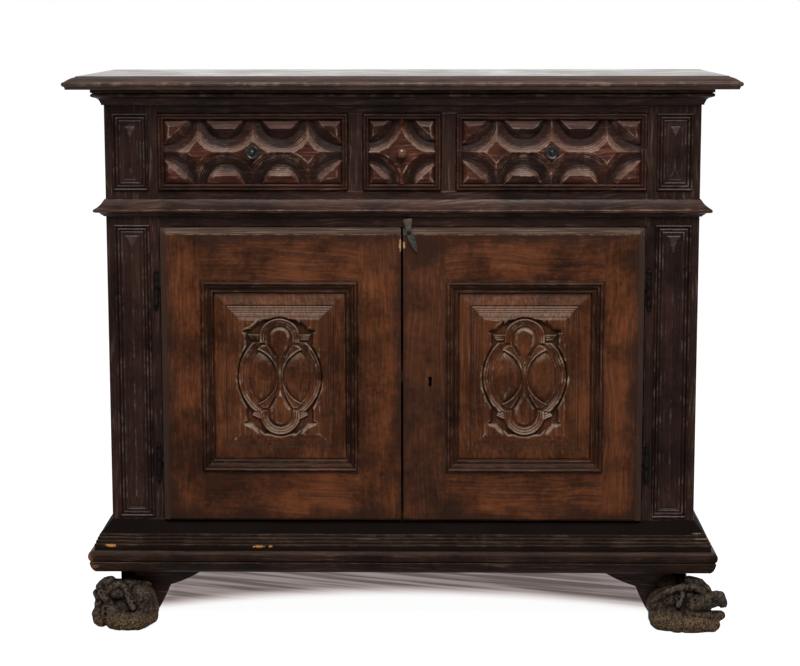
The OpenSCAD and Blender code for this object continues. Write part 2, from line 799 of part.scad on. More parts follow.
// Whole right door frame before it is divided: square at the meeting edge, bevelled elsewhere
module door_blank() {
    step = 1.5;
    intersection() {
        along_z(door_z0, door_z1) polygon([[door_x0, door_y], [door_x0, door_back],
            [door_x1, door_back], [door_x1, door_y + lip_d],
            [door_x1 - lip_w, door_y + step], [door_x1 - lip_w, door_y]]);
        along_x(door_x0 - eps, door_x1 + eps) polygon([[door_back, door_z0],
            [door_y + lip_d / 2, door_z0], [door_y, door_z0 + lip_w / 3],
            [door_y, door_z1 - lip_w], [door_y + step, door_z1 - lip_w],
            [door_y + lip_d, door_z1], [door_back, door_z1]]);
    }
}

// Space of the door panel's edge, from the opening into the grooves
module panel_edge_space() {
    block([panel_x0 - groove_d, panel_y, panel_z0 - groove_d],
        [panel_x1 + groove_d, panel_y + panel_edge_t, panel_z1 + groove_d]);
}

// Tenons of the door rails, which their mortises repeat
module door_tenons() {
    mid = panel_y + panel_edge_t / 2;
    levels = [[door_z0 + 20, panel_z0 - groove_d - 4], [panel_z1 + groove_d + 4, door_z1 - 20]];
    for (level = levels)
        block([panel_x0 - door_tenon_l, mid - tenon_t / 2, level[0]],
            [panel_x1 + door_tenon_l, mid + tenon_t / 2, level[1]]);
}

module keyhole() {
    top = keyhole_z + keyhole_h / 2 - keyhole_d / 2;
    translate([keyhole_x, door_back + lock_d, top]) rotate([90, 0, 0])
        cylinder(d = keyhole_d, h = door_t + lock_d + eps, $fn = 32);
    block([keyhole_x - keyslot_w / 2, door_y - eps, keyhole_z - keyhole_h / 2],
        [keyhole_x + keyslot_w / 2, door_back + lock_d, top]);
}

module latch_screw_shank(d) {
    translate([latch_x, latch_front - 0.5, latch_z]) rotate([-90, 0, 0])
        cylinder(d = d, h = 20, $fn = 32);
}

module door_hinge_stile(s) {
    color(walnut_door) on_side(s) difference() {
        intersection() {
            door_blank();
            block([panel_x1, door_y - eps, door_z0 - eps], [door_x1 + eps, door_back + eps,
                door_z1 + eps]);
        }
        panel_edge_space();
        door_tenons();
        for (z = hinge_z) knuckle_leaf(z);
    }
}

module door_meeting_stile(s) {
    color(walnut_door) on_side(s) difference() {
        intersection() {
            door_blank();
            block([door_x0 - eps, door_y - eps, door_z0 - eps], [panel_x0, door_back + eps,
                door_z1 + eps]);
        }
        panel_edge_space();
        door_tenons();
        if (s > 0) {
            keyhole();
            latch_screw_shank(latch_screw_d);
        }
    }
}

module door_rails(s) {
    color(walnut_door) on_side(s) difference() {
        union() {
            intersection() {
                door_blank();
                union() {
                    block([panel_x0, door_y - eps, door_z0 - eps],
                        [panel_x1, door_back + eps, panel_z0]);
                    block([panel_x0, door_y - eps, panel_z1],
                        [panel_x1, door_back + eps, door_z1 + eps]);
                }
            }
            intersection() {
                door_tenons();
                union() {
                    block([panel_x0 - door_tenon_l, door_y, door_z0], [panel_x1 + door_tenon_l,
                        door_back, panel_z0]);
                    block([panel_x0 - door_tenon_l, door_y, panel_z1], [panel_x1 + door_tenon_l,
                        door_back, door_z1]);
                }
            }
        }
        panel_edge_space();
    }
}

module door_moulding(s) {
    color(walnut_dark) on_side(s) translate(panel_mid)
        moulded_frame(panel_w, panel_h, bead_w, bead_profile, glue_gap);
}

// One length of carved strap: a band between two radii round c, from angle a0 to a1
module strap_arc(c, r, w, a0, a1) {
    polygon(concat(arc(c, [r, r], a0, a1, 16), arc(c, [r - w, r - w], a1, a0, 16)));
}

// Upright lens between two equal arcs, w wide, round the point c
module lens(c, r, w) {
    apart = r - w / 2;
    lean = acos(apart / r);
    polygon(concat(arc(c - [apart, 0], [r, r], -lean, lean, 12),
        arc(c + [apart, 0], [r, r], 180 - lean, 180 + lean, 12)));
}

// Carving in the sunk ground, raised towards -Y from the ground's floor
module carving(h) {
    w = field_w / 2 - hip_run - ground_in;
    t = field_h / 2 - hip_run - ground_in;
    pillow = carve_d - 2;
    pillow_x0 = waist_arc_w - waist_arc_past + pillow_gap;
    pillow_x1 = side_arc_reach - strap_w - pillow_gap;
    for (s = [-1, 1]) {
        along_y(-h, 0) strap_arc([0, s * lobe_z], lobe_r, strap_w, s * -28, s * 208);
        along_y(-h, 0) mirror([s < 0 ? 1 : 0, 0])
            strap_arc([side_arc_reach - side_arc_r, 0], side_arc_r, strap_w, -48, 48);
        along_y(-h, 0) mirror([s < 0 ? 1 : 0, 0])
            strap_arc([waist_arc_r - waist_arc_past, 0], waist_arc_r, waist_arc_w, 118, 242);
        along_y(-pillow, 0) lens([s * (pillow_x0 + pillow_x1) / 2, 0], pillow_r,
            pillow_x1 - pillow_x0);
        along_y(-pillow, 0) translate([0, s * lobe_z])
            circle(r = lobe_r - strap_w - 4 * pillow_gap, $fn = 48);
        for (u = [-1, 1]) {
            along_y(-h, 0) translate([s * (lobe_r + 7), u * (lobe_z - 5)])
                square([23, 10], center = true);
            along_y(-h, 0) mirror([s < 0 ? 1 : 0, 0]) mirror([0, u < 0 ? 1 : 0])
                polygon([[w + 1, t + 1], [w - 26, t + 1], [w - 22, t - 14],
                    [w - 12, t - 20], [w - 4, t - 44], [w + 1, t - 44]]);
        }
    }
}

module door_panel(s) {
    w = field_w - 2 * (hip_run + ground_in);
    h = field_h - 2 * (hip_run + ground_in);
    color(walnut_door) on_side(s) union() {
        difference() {
            union() {
                panel_edge_space();
                translate(panel_mid) {
                    block([-panel_w / 2 + bead_w, -panel_flat, -panel_h / 2 + bead_w],
                        [panel_w / 2 - bead_w, 1, panel_h / 2 - bead_w]);
                    translate([0, -panel_flat + 0.5, 0])
                        hipped(field_w, field_h, hip_rise + 0.5, hip_run);
                }
            }
            translate(panel_mid) block([-w / 2, carve_y - eps, -h / 2],
                [w / 2, carve_y + carve_d, h / 2]);
        }
        translate(panel_mid + [0, carve_y + carve_d, 0]) carving(carve_d);
    }
}

// Lock case: an iron box behind the right door's stile, with a way out for the bolt
module lock_case() {
    color(iron) difference() {
        block([lock_x, door_back, lock_z0], [lock_x + lock_w, door_back + lock_d, lock_z0 + lock_h]);
        block([lock_x + lock_wall, door_back - eps, lock_z0 + lock_wall],
            [lock_x + lock_w - lock_wall, door_back + lock_d - lock_wall,
                lock_z0 + lock_h - lock_wall]);
        block([lock_x - eps, bolt_y - bolt_clear, bolt_z - bolt_clear],
            [lock_x + lock_wall + eps, bolt_y + bolt_t + bolt_clear, bolt_z + bolt_h + bolt_clear]);
    }
}
module lock_bolt() {
    color(iron) block([lock_x, bolt_y, bolt_z], [lock_x + bolt_l, bolt_y + bolt_t, bolt_z + bolt_h]);
}

// Latch that turns on the right door: a leaf-shaped blade below, a flared tail above
module turn_button() {
    neck = blade_w * 0.36;
    blade = concat(
        bow([neck, 6], [blade_w / 2, -blade_l * 0.35], 0.6, 4),
        bow([blade_w / 2, -blade_l * 0.35], [0.6, -blade_l], 1.2, 5),
        bow([-0.6, -blade_l], [-blade_w / 2, -blade_l * 0.3], 1.2, 5),
        [[-neck, 6]]);
    tail = [[-neck, 5], [neck, 5], [tail_w / 2, tail_l - 2], [tail_w / 2 - 2, tail_l],
        [-tail_w / 2 + 2, tail_l], [-tail_w / 2, tail_l - 2]];
    color(bronze) difference() {
        translate([latch_x, 0, latch_z]) union() {
            along_y(latch_front, latch_back) rotate(latch_lean) polygon(blade);
            along_y(latch_front, latch_back) rotate(latch_lean / 4) polygon(tail);
            along_y(latch_front, latch_back) circle(r = blade_w / 2 + 0.5, $fn = 32);
        }
        latch_screw_shank(latch_screw_d + 2 * pin_clear);
    }
}
module turn_button_screw() {
    head = latch_screw_d * 0.85;
    color(iron) union() {
        latch_screw_shank(latch_screw_d);
        translate([latch_x, latch_front - run_clear, latch_z]) rotate([90, 0, 0]) rotate_extrude($fn = 32)
            polygon(concat([[0, 0]], arc([0, 0.6], [head, 1.8], 0, 90), [[0, 0.6]]));
    }
}

// Cutter for one carved ring: an outer slope down to the groove and a short slope up
module ring_cut(r) {
    groove = r - ring_slope;
    rotate([90, 0, 0]) rotate_extrude($fn = 96)
        polygon([[r + ring_slope / ring_d, 1], [r, 0], [groove, -ring_d],
            [groove - ring_inner, -ring_d / 3], [groove - ring_inner, 1]]);
}

// Drawer front in the middle of its opening, carved with rings along both long edges
module drawer_front(x, open_w, columns) {
    w = open_w - 2 * drawer_gap;
    h = drawer_open_h - 2 * drawer_gap;
    field = [w / 2 - field_border, drawer_field_h / 2];
    color(walnut_red) translate([x, drawer_y, drawer_z]) difference() {
        block([-w / 2, 0, -h / 2], [w / 2, drawer_front_t, h / 2]);
        intersection() {
            union() {
                for (s = [-1, 1]) {
                    for (t = [-1, 1]) translate([s * field[0], 0, t * field[1]])
                        ring_cut(corner_ring_r);
                    for (column = columns) translate([column, 0, s * field[1]]) ring_cut(ring_r);
                }
            }
            block([-field[0], -2, -field[1]], [field[0], ring_d + 1, field[1]]);
        }
        rotate([-90, 0, 0]) translate([0, 0, -2]) cylinder(d = dowel_d, h = dowel_l + 2, $fn = 32);
    }
}

// Drawer box behind its front: two sides, a back and a bottom between them
module drawer_box(x, open_w) {
    w = open_w / 2 - drawer_gap;
    inner = w - drawer_wall - glue_gap;
    z0 = z_waist + run_clear;
    z1 = z_drawers - drawer_box_drop;
    y1 = boards_y - drawer_back_gap;
    back_front = y1 - drawer_wall;
    color(plain_wood) translate([x, 0, 0]) {
        for (s = [-1, 1]) on_side(s)
            block([w - drawer_wall, drawer_back, z0], [w, y1, z1]);
        block([-inner, back_front, z0], [inner, y1, z1]);
        block([-inner, drawer_back, z0 + drawer_bottom_up],
            [inner, back_front - glue_gap, z0 + drawer_bottom_up + drawer_bottom_t]);
    }
}

// Turned knob: a dowel, a short neck, a ringed disc and a centre button
module turned_knob(x) {
    r = knob_d / 2;
    color(iron) translate([x, drawer_y, drawer_z]) rotate([90, 0, 0]) rotate_extrude($fn = 64)
        polygon(concat([[0, -dowel_l], [dowel_d / 2, -dowel_l], [dowel_d / 2, 0], [r * 0.62, 0],
            [r * 0.55, 4]], arc([r - 2.2, 8], [2.2, 2.6], -60, 90),
            [[r * 0.68, 9.4], [r * 0.6, 8.8]], arc([0, 8.8], [r * 0.46, 5.6], 0, 90)));
}

// Ball knob on a small neck
module ball_knob(x) {
    r = ball_d / 2;
    color(walnut_red) translate([x, drawer_y, drawer_z]) rotate([90, 0, 0]) rotate_extrude($fn = 64)
        polygon(concat([[0, -dowel_l], [dowel_d / 2, -dowel_l], [dowel_d / 2, 0], [r * 0.62, 0],
            [r * 0.5, 2.5]], arc([0, 2.5 + r * 0.87], [r, r], -60, 90, 14)));
}

top_board();
cornice_front();
cornice_side(-1);  // cornice_left
cornice_side(1);  // cornice_right
frieze_rail();
waist_rail();
door_sill_rail();
drawer_dividers();
waist_moulding_front();
waist_moulding_side(-1);  // waist_moulding_left
waist_moulding_side(1);  // waist_moulding_right
post_front(-1);  // post_front_left
post_front(1);  // post_front_right
back_posts();
pilaster_panel_upper(-1);  // pilaster_panel_upper_left
pilaster_panel_upper(1);  // pilaster_panel_upper_right
pilaster_panel_lower(-1);  // pilaster_panel_lower_left
pilaster_panel_lower(1);  // pilaster_panel_lower_right
side_rails(-1);  // side_rails_left
side_rails(1);  // side_rails_right
side_panels(-1);  // side_panels_left
side_panels(1);  // side_panels_right
back_boards();
floor_board();
shelf();
shelf_cleats();
dust_board();
drawer_guides();
plinth_front();
plinth_side(-1);  // plinth_left
plinth_side(1);  // plinth_right
paw_foot(-1);  // paw_foot_left
paw_foot(1);  // paw_foot_right
back_feet();
hinge_hooks();
door_hinge_stile(-1);  // left_door_hinge_stile
door_meeting_stile(-1);  // left_door_meeting_stile
door_rails(-1);  // left_door_rails
door_moulding(-1);  // left_door_moulding
door_panel(-1);  // left_door_panel
hinge_knuckles(-1);  // left_door_hinge_knuckles
door_hinge_stile(1);  // right_door_hinge_stile
door_meeting_stile(1);  // right_door_meeting_stile
door_rails(1);  // right_door_rails
door_moulding(1);  // right_door_moulding
door_panel(1);  // right_door_panel
hinge_knuckles(1);  // right_door_hinge_knuckles
lock_case();
lock_bolt();
turn_button();
turn_button_screw();
drawer_front(-side_open_x, side_open_w, [-ring_pitch / 2, ring_pitch / 2]);  // left_drawer_front
drawer_box(-side_open_x, side_open_w);  // left_drawer_box
turned_knob(-side_open_x);  // left_drawer_knob
drawer_front(0, center_open_w, []);  // center_drawer_front
drawer_box(0, center_open_w);  // center_drawer_box
ball_knob(0);  // center_drawer_knob
drawer_front(side_open_x, side_open_w, [-ring_pitch / 2, ring_pitch / 2]);  // right_drawer_front
drawer_box(side_open_x, side_open_w);  // right_drawer_box
turned_knob(side_open_x);  // right_drawer_knob
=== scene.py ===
"""Looks of a carved walnut credenza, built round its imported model."""

import json
import math

import bmesh
import bpy
import numpy as np
from mathutils import Matrix, Vector, noise


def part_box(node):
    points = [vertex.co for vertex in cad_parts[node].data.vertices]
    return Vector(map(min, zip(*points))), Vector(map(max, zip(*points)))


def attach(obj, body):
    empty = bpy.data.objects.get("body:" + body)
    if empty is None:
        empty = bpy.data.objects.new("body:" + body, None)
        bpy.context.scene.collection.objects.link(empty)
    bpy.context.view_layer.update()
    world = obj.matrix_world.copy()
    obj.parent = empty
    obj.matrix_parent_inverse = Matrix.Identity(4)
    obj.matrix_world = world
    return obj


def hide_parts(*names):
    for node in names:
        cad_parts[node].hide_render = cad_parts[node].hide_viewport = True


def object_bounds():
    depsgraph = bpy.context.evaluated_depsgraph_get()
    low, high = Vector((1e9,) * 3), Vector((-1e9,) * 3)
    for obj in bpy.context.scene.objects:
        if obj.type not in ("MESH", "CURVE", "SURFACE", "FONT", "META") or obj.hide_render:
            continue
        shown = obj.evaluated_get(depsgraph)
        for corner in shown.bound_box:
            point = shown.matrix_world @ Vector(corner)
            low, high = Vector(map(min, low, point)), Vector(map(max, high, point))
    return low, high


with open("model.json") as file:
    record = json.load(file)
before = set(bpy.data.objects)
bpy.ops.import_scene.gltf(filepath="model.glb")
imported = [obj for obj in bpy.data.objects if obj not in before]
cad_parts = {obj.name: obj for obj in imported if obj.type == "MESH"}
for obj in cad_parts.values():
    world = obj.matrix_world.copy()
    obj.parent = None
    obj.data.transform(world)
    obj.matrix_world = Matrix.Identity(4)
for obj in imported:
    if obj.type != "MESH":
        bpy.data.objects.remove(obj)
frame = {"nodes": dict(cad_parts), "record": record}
CAD_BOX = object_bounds()
CAD = frame["nodes"]
BODY_OF = {name: body for body, names in frame["record"]["behaviour"]["bodies"].items()
           for name in names}
MM = 0.001

bl_info = {
    "name": "Carved Credenza",
    "version": (1, 0, 0),
    "blender": (4, 5, 0),
    "location": "3D View > Sidebar > Credenza",
    "description": "Builds the look of a carved walnut credenza round its packed model",
    "category": "Object",
}


def length_setting(name, description, default, low, high):
    return bpy.props.FloatProperty(name=name, description=description, default=default,
                                   min=low, max=high, unit="LENGTH")


def colour_setting(name, description, default):
    return bpy.props.FloatVectorProperty(name=name, description=description, default=default,
                                         size=3, min=0, max=1, subtype="COLOR")


class CredenzaSizes(bpy.types.PropertyGroup):
    """Sizes of the hand-made surface"""
    board_edge: length_setting(
        "Board edge", "Rounding of the boards' worn edges", 0.0011, 0.0002, 0.003)
    moulding_edge: length_setting(
        "Moulding edge", "Rounding of the mouldings' sharp edges", 0.0006, 0.0001, 0.0015)
    waver: length_setting(
        "Waver", "How far hand-planed wood strays from a true surface", 0.0007, 0.0, 0.002)
    slice_length: length_setting(
        "Slice", "Distance between the cuts that let a moulding waver", 0.016, 0.005, 0.05)
    carving_step: length_setting(
        "Carving step", "Distance between two points of a carved surface", 0.0011, 0.0008, 0.003)


class CredenzaColours(bpy.types.PropertyGroup):
    """Colours of the old finish"""
    # Black wax is also the colour of the painted shade in creases, hollows and under the carving
    black_wax_and_shade: colour_setting(
        "Black wax", "Darkest old wax in the hollows", (0.0062, 0.0036, 0.0028))
    dark_walnut: colour_setting(
        "Dark walnut", "Carcass and mouldings", (0.0285, 0.0098, 0.0056))
    door_walnut: colour_setting(
        "Door walnut", "Stiles and rails of the doors", (0.1130, 0.0325, 0.0092))
    red_walnut: colour_setting(
        "Red walnut", "Raised parts of the carving", (0.0820, 0.0240, 0.0130))
    rubbed_wood: colour_setting(
        "Rubbed wood", "Wood where the wax is rubbed away", (0.215, 0.145, 0.105))
    fresh_wood: colour_setting("Fresh wood", "Fresh wood in a chip", (0.62, 0.27, 0.085))
    # Painted sheen: this colour lightens surfaces that face up, standing in for light from above as
    # well as a dusty haze
    grey_dusty_sheen: colour_setting(
        "Grey bloom", "Bloom on surfaces that face up", (0.150, 0.116, 0.098))
    sandy_foot: colour_setting(
        "Sandy foot", "Bare worn wood at the bottom of the paws", (0.235, 0.150, 0.082))
    plain_wood: colour_setting(
        "Inside wood", "Unfinished boards inside and behind", (0.215, 0.132, 0.072))
    iron: colour_setting("Iron", "Hinges and lock", (0.019, 0.0150, 0.0124))
    bronze: colour_setting("Bronze", "Blade of the turn latch", (0.062, 0.060, 0.047))
    floor: colour_setting("Floor", "Pale floor under the credenza", (0.50, 0.50, 0.505))


def sizes():
    return bpy.context.scene.credenza_sizes


def colours():
    return bpy.context.scene.credenza_colours


# Shader nodes

def add(tree, kind, feeds=None, **settings):
    """One node with its settings and what feeds its inputs."""
    made = tree.nodes.new(kind)
    for key, value in settings.items():
        setattr(made, key, value)
    for key, value in (feeds or {}).items():
        if isinstance(value, bpy.types.NodeSocket):
            tree.links.new(value, made.inputs[key])
        else:
            made.inputs[key].default_value = value
    return made


def maths(tree, kind, first, second=0.0, clamp=False):
    return add(tree, "ShaderNodeMath", {0: first, 1: second}, operation=kind,
               use_clamp=clamp).outputs[0]


def plus(tree, first, second, clamp=False):
    return maths(tree, "ADD", first, second, clamp)


def minus(tree, first, second, clamp=False):
    return maths(tree, "SUBTRACT", first, second, clamp)


def times(tree, first, second, clamp=False):
    return maths(tree, "MULTIPLY", first, second, clamp)


def larger(tree, first, second):
    return maths(tree, "MAXIMUM", first, second)


def vector_maths(tree, kind, first, second=(0.0, 0.0, 0.0)):
    return add(tree, "ShaderNodeVectorMath", {0: first, 1: second}, operation=kind).outputs


def object_place(tree):
    return add(tree, "ShaderNodeTexCoord").outputs["Object"]


def axes_of(tree, place):
    return add(tree, "ShaderNodeSeparateXYZ", {0: place}).outputs


def along_axis(tree, place, axis):
    """One of a place's coordinates."""
    return axes_of(tree, place)[axis]


def painted(tree, label):
    """What the shape's own layer says: how worn it is, or how far it is darkened as painted shade and
    dirt.
    """
    return add(tree, "ShaderNodeAttribute", attribute_name=label).outputs["Fac"]


def stepped(tree, value, low, high, start=0.0, end=1.0):
    """Smooth step of a value from start, at low, to end, at high."""
    return add(tree, "ShaderNodeMapRange",
               {"Value": value, "From Min": low, "From Max": high, "To Min": start, "To Max": end},
               interpolation_type="SMOOTHSTEP").outputs["Result"]


def blended(tree, factor, first, second, kind="MIX"):
    return add(tree, "ShaderNodeMix", {0: factor, 6: first, 7: second}, data_type="RGBA",
               blend_type=kind, clamp_factor=True).outputs[2]


def speckle(tree, vector, scale, detail=3.0, roughness=0.55):
    return add(tree, "ShaderNodeTexNoise", {"Vector": vector, "Scale": scale, "Detail": detail,
                                            "Roughness": roughness}).outputs["Fac"]


def stretched(tree, vector, scale):
    return add(tree, "ShaderNodeMapping", {"Vector": vector, "Scale": scale}).outputs["Vector"]


def new_group(name, inputs, outputs):
    """Empty shader group with its sockets; inputs are (name, kind, default)."""
    tree = bpy.data.node_groups.new(name, "ShaderNodeTree")
    for label, kind, default in inputs:
        socket = tree.interface.new_socket(label, in_out="INPUT", socket_type=kind)
        if default is not None:
            socket.default_value = default
    for label, kind in outputs:
        tree.interface.new_socket(label, in_out="OUTPUT", socket_type=kind)
    return tree, tree.nodes.new("NodeGroupInput").outputs, tree.nodes.new("NodeGroupOutput").inputs


def use_group(tree, group, feeds):
    return add(tree, "ShaderNodeGroup", feeds, node_tree=group)


def grain_group():
    """Wood grain along X: broad bands, fine fibres and pores."""
    if "Wood grain" in bpy.data.node_groups:
        return bpy.data.node_groups["Wood grain"]
    tree, given, wanted = new_group(
        "Wood grain", [("Vector", "NodeSocketVector", None)],
        [("Bands", "NodeSocketFloat"), ("Fibres", "NodeSocketFloat"),
         ("Pores", "NodeSocketFloat")])
    wander = add(tree, "ShaderNodeTexNoise", {"Vector": given["Vector"], "Scale": 3.5, "Detail": 2.0})
    shift = vector_maths(tree, "SUBTRACT", wander.outputs["Color"], (0.5, 0.5, 0.5))[0]
    small = vector_maths(tree, "MULTIPLY", shift, (0.05, 0.05, 0.05))[0]
    bent = vector_maths(tree, "ADD", given["Vector"], small)[0]
    bands = speckle(tree, stretched(tree, bent, (1.6, 30, 30)), 1.0, 5.0, 0.6)
    fibres = speckle(tree, stretched(tree, bent, (8, 260, 260)), 1.0, 3.0)
    pores = speckle(tree, stretched(tree, bent, (40, 900, 900)), 1.0, 1.0)
    tree.links.new(bands, wanted["Bands"])
    tree.links.new(fibres, wanted["Fibres"])
    tree.links.new(stepped(tree, pores, 0.60, 0.72), wanted["Pores"])
    return tree


def wax_group():
    """Old waxed wood: grain colours, rubbed edges, hollows darkened as painted shade and dirt, and a
    painted sheen with a dusty haze on surfaces that face up.
    """
    if "Old wax" in bpy.data.node_groups:
        return bpy.data.node_groups["Old wax"]
    colour, number = "NodeSocketColor", "NodeSocketFloat"
    tree, given, wanted = new_group(
        "Old wax",
        [("Vector", "NodeSocketVector", None), ("Grain", "NodeSocketVector", None),
         ("Deep", colour, None), ("Wood", colour, None), ("Rubbed", colour, None),
         ("Sheen_and_bloom", colour, None), ("Rub", number, 0.6), ("Bloom amount", number, 0.4),
         ("Roughness", number, 0.4), ("Mottle", number, 0.5), ("Darkening", number, 0.0),
         ("Streaks", number, 0.3)],
        [("Color", colour), ("Roughness", number), ("Height", number)])
    bands, fibres, pores = use_group(tree, grain_group(), {"Vector": given["Grain"]}).outputs
    blotch = speckle(tree, given["Vector"], 8.5, 6.0, 0.62)
    cloud = speckle(tree, given["Vector"], 90.0, 4.0, 0.7)
    worn, shade_and_dirt = painted(tree, "worn"), painted(tree, "shade_and_dirt")
    undarkened = minus(tree, 1.0, given["Darkening"], True)

    tone = plus(tree, times(tree, bands, 0.42), times(tree, fibres, 0.58))
    wood = blended(tree, stepped(tree, tone, 0.34, 0.62, 0.34, 1.0), given["Deep"], given["Wood"])
    clouds = plus(tree, times(tree, blotch, 0.75), times(tree, cloud, 0.25))
    shade = stepped(tree, clouds, 0.36, 0.62, 0.27, 1.28)
    wood = blended(tree, given["Mottle"], wood, blended(tree, 1.0, wood, shade, "MULTIPLY"))
    wood = blended(tree, times(tree, pores, 0.40), wood, given["Deep"])
    wood = blended(tree, given["Darkening"], wood, given["Deep"])

    breaks = stepped(tree, speckle(tree, given["Vector"], 42.0, 5.0, 0.68), 0.46, 0.70)
    rub = times(tree, times(tree, worn, breaks), given["Rub"], True)
    wood = blended(tree, rub, wood, given["Rubbed"])
    streaks = times(tree, stepped(tree, fibres, 0.54, 0.72),
                    stepped(tree, blotch, 0.40, 0.58, 0.15, 1.0))
    streaks = times(tree, streaks, given["Streaks"])
    wood = blended(tree, times(tree, streaks, undarkened), wood, given["Rubbed"])
    # Painted shade and dirt: creases, hollows and the undersides of the carving go towards the deep
    # colour
    wood = blended(tree, times(tree, shade_and_dirt, 0.85, True), wood, given["Deep"])

    # Painted sheen: surfaces that face up are lightened towards the sheen colour, as light from above
    # would, with a dusty haze
    up = along_axis(tree, add(tree, "ShaderNodeNewGeometry").outputs["Normal"], "Z")
    sheen_on_top = times(tree, stepped(tree, up, 0.10, 0.58),
                    stepped(tree, fibres, 0.25, 0.60, 0.45, 1.0))
    sheen_on_top = times(tree, sheen_on_top, minus(tree, undarkened, times(tree, shade_and_dirt, 1.6), True))
    sheen_on_top = times(tree, sheen_on_top, given["Bloom amount"], True)
    tree.links.new(blended(tree, sheen_on_top, wood, given["Sheen_and_bloom"]), wanted["Color"])

    rough = plus(tree, given["Roughness"], stepped(tree, blotch, 0.30, 0.70, -0.07, 0.10))
    rough = plus(tree, rough, times(tree, shade_and_dirt, 0.12), True)
    rough = plus(tree, rough, times(tree, given["Darkening"], 0.45), True)
    tree.links.new(rough, wanted["Roughness"])
    grain = plus(tree, times(tree, pores, -0.55), times(tree, fibres, 0.45))
    dents = times(tree, speckle(tree, given["Vector"], 55.0, 3.0), 1.1)
    tree.links.new(plus(tree, grain, dents), wanted["Height"])
    return tree


GRAIN_TURN = {"X": (0, 0, 0), "Y": (0, 0, math.pi / 2), "Z": (0, math.pi / 2, 0)}


def rgba(colour):
    return (colour[0], colour[1], colour[2], 1.0)


def blank_material(name, colour):
    made = bpy.data.materials.new(name)
    made.use_nodes = True
    made.node_tree.nodes.clear()
    made.diffuse_color = rgba(colour)
    return made, made.node_tree


def finished(tree, colour, roughness, height, bump, metallic=0.0, specular=0.5):
    """Principled surface with its bump, joined to the output."""
    normal = add(tree, "ShaderNodeBump", {"Height": height, "Strength": 1.0, "Distance": bump})
    surface = add(tree, "ShaderNodeBsdfPrincipled",
                  {"Base Color": colour, "Roughness": roughness, "Metallic": metallic,
                   "Specular IOR Level": specular, "Normal": normal.outputs["Normal"]})
    add(tree, "ShaderNodeOutputMaterial", {"Surface": surface.outputs["BSDF"]})


def away_from(tree, coords, middle, reach):
    """Distance from a middle, counted in its reach along each axis."""
    away = vector_maths(tree, "SUBTRACT", coords, middle)[0]
    share = vector_maths(tree, "DIVIDE", away, reach)[0]
    return vector_maths(tree, "LENGTH", share)["Value"]


def patches(tree, coords, places):
    """Ragged mask of some places, each its middle and its reach, in metres."""
    ragged = times(tree, speckle(tree, coords, 240.0, 5.0, 0.75), 2.2)
    mask = 0.0
    for middle, reach in places:
        far = plus(tree, away_from(tree, coords, middle, reach), ragged)
        mask = larger(tree, mask, stepped(tree, far, 1.90, 1.60))
    return mask


def grain_places(tree, along):
    """Places on an object, and the same turned so that the grain runs along an axis."""
    coords = object_place(tree)
    turned = add(tree, "ShaderNodeMapping",
                 {"Vector": coords, "Rotation": GRAIN_TURN[along]}).outputs["Vector"]
    return coords, turned


def waxed(name, along, wood, deep=None, rub=0.6, bloom_and_sheen=0.4, roughness=0.40, bump=0.00022,
          specular=0.5, mottle=0.5, darkening=None, stains=(), rubbed=None, dusty_sheen=None,
          streaks=0.2):
    """Waxed walnut whose grain runs along one axis; made once for each name and axis.
    The darkening mask comes from a function of (tree, coords); stains are pairs of places, or of
    such a mask, and their colour."""
    label = name + "_" + along.lower()
    if label in bpy.data.materials:
        return bpy.data.materials[label]
    made, tree = blank_material(label, wood)
    coords, turned = grain_places(tree, along)
    wax = use_group(tree, wax_group(), {
        "Vector": coords, "Grain": turned, "Deep": rgba(deep or colours().black_wax_and_shade),
        "Wood": rgba(wood), "Rubbed": rgba(rubbed or colours().rubbed_wood),
        "Sheen_and_bloom": rgba(dusty_sheen or colours().grey_dusty_sheen), "Rub": rub, "Bloom amount": bloom_and_sheen,
        "Roughness": roughness, "Mottle": mottle, "Streaks": streaks,
        "Darkening": darkening(tree, coords) if darkening else 0.0}).outputs
    colour = wax["Color"]
    for places, stain in stains:
        mask = places(tree, coords) if callable(places) else patches(tree, coords, places)
        colour = blended(tree, mask, colour, rgba(stain))
    finished(tree, colour, wax["Roughness"], wax["Height"], bump, specular=specular)
    return made


# Outer edges of the two doors: how far each reaches out, its foot and its head, in metres

DOOR_REACH, DOOR_FOOT, DOOR_HEAD = 0.458, 0.2127, 0.776

# Where darker patches, chips and stains lie, each a middle and its reach along each axis,
# in metres; the darker patches also have their depth

DOOR_DARK_PATCHES = (((0.036, -0.19, 0.742), (0.062, 1.0, 0.060), 0.85),
              ((-0.036, -0.19, 0.735), (0.040, 1.0, 0.050), 0.45),
              ((0.045, -0.19, 0.480), (0.075, 1.0, 0.500), 0.34))
LATCH_CHIPS = (((-0.003, -0.188, 0.7465), (0.0042, 0.02, 0.019)),
               ((0.0035, -0.188, 0.7450), (0.0032, 0.02, 0.011)))
LATCH_TAIL = (((0.010, -0.192, 0.792), (0.020, 0.03, 0.013)),)
PLINTH_CHIPS = (((-0.276, -0.207, 0.1650), (0.016, 0.03, 0.0034)),
                ((-0.252, -0.207, 0.1655), (0.006, 0.03, 0.0024)),
                ((-0.560, -0.207, 0.1660), (0.014, 0.03, 0.0040)))
PLINTH_SCRAPES = (((0.566, -0.20, 0.1900), (0.016, 0.05, 0.0020)),
                  ((0.574, -0.21, 0.1810), (0.026, 0.05, 0.0018)))
PLINTH_RED_END = (((-0.600, -0.20, 0.142), (0.010, 0.06, 0.018)),
                  ((-0.590, -0.21, 0.126), (0.010, 0.06, 0.006)))


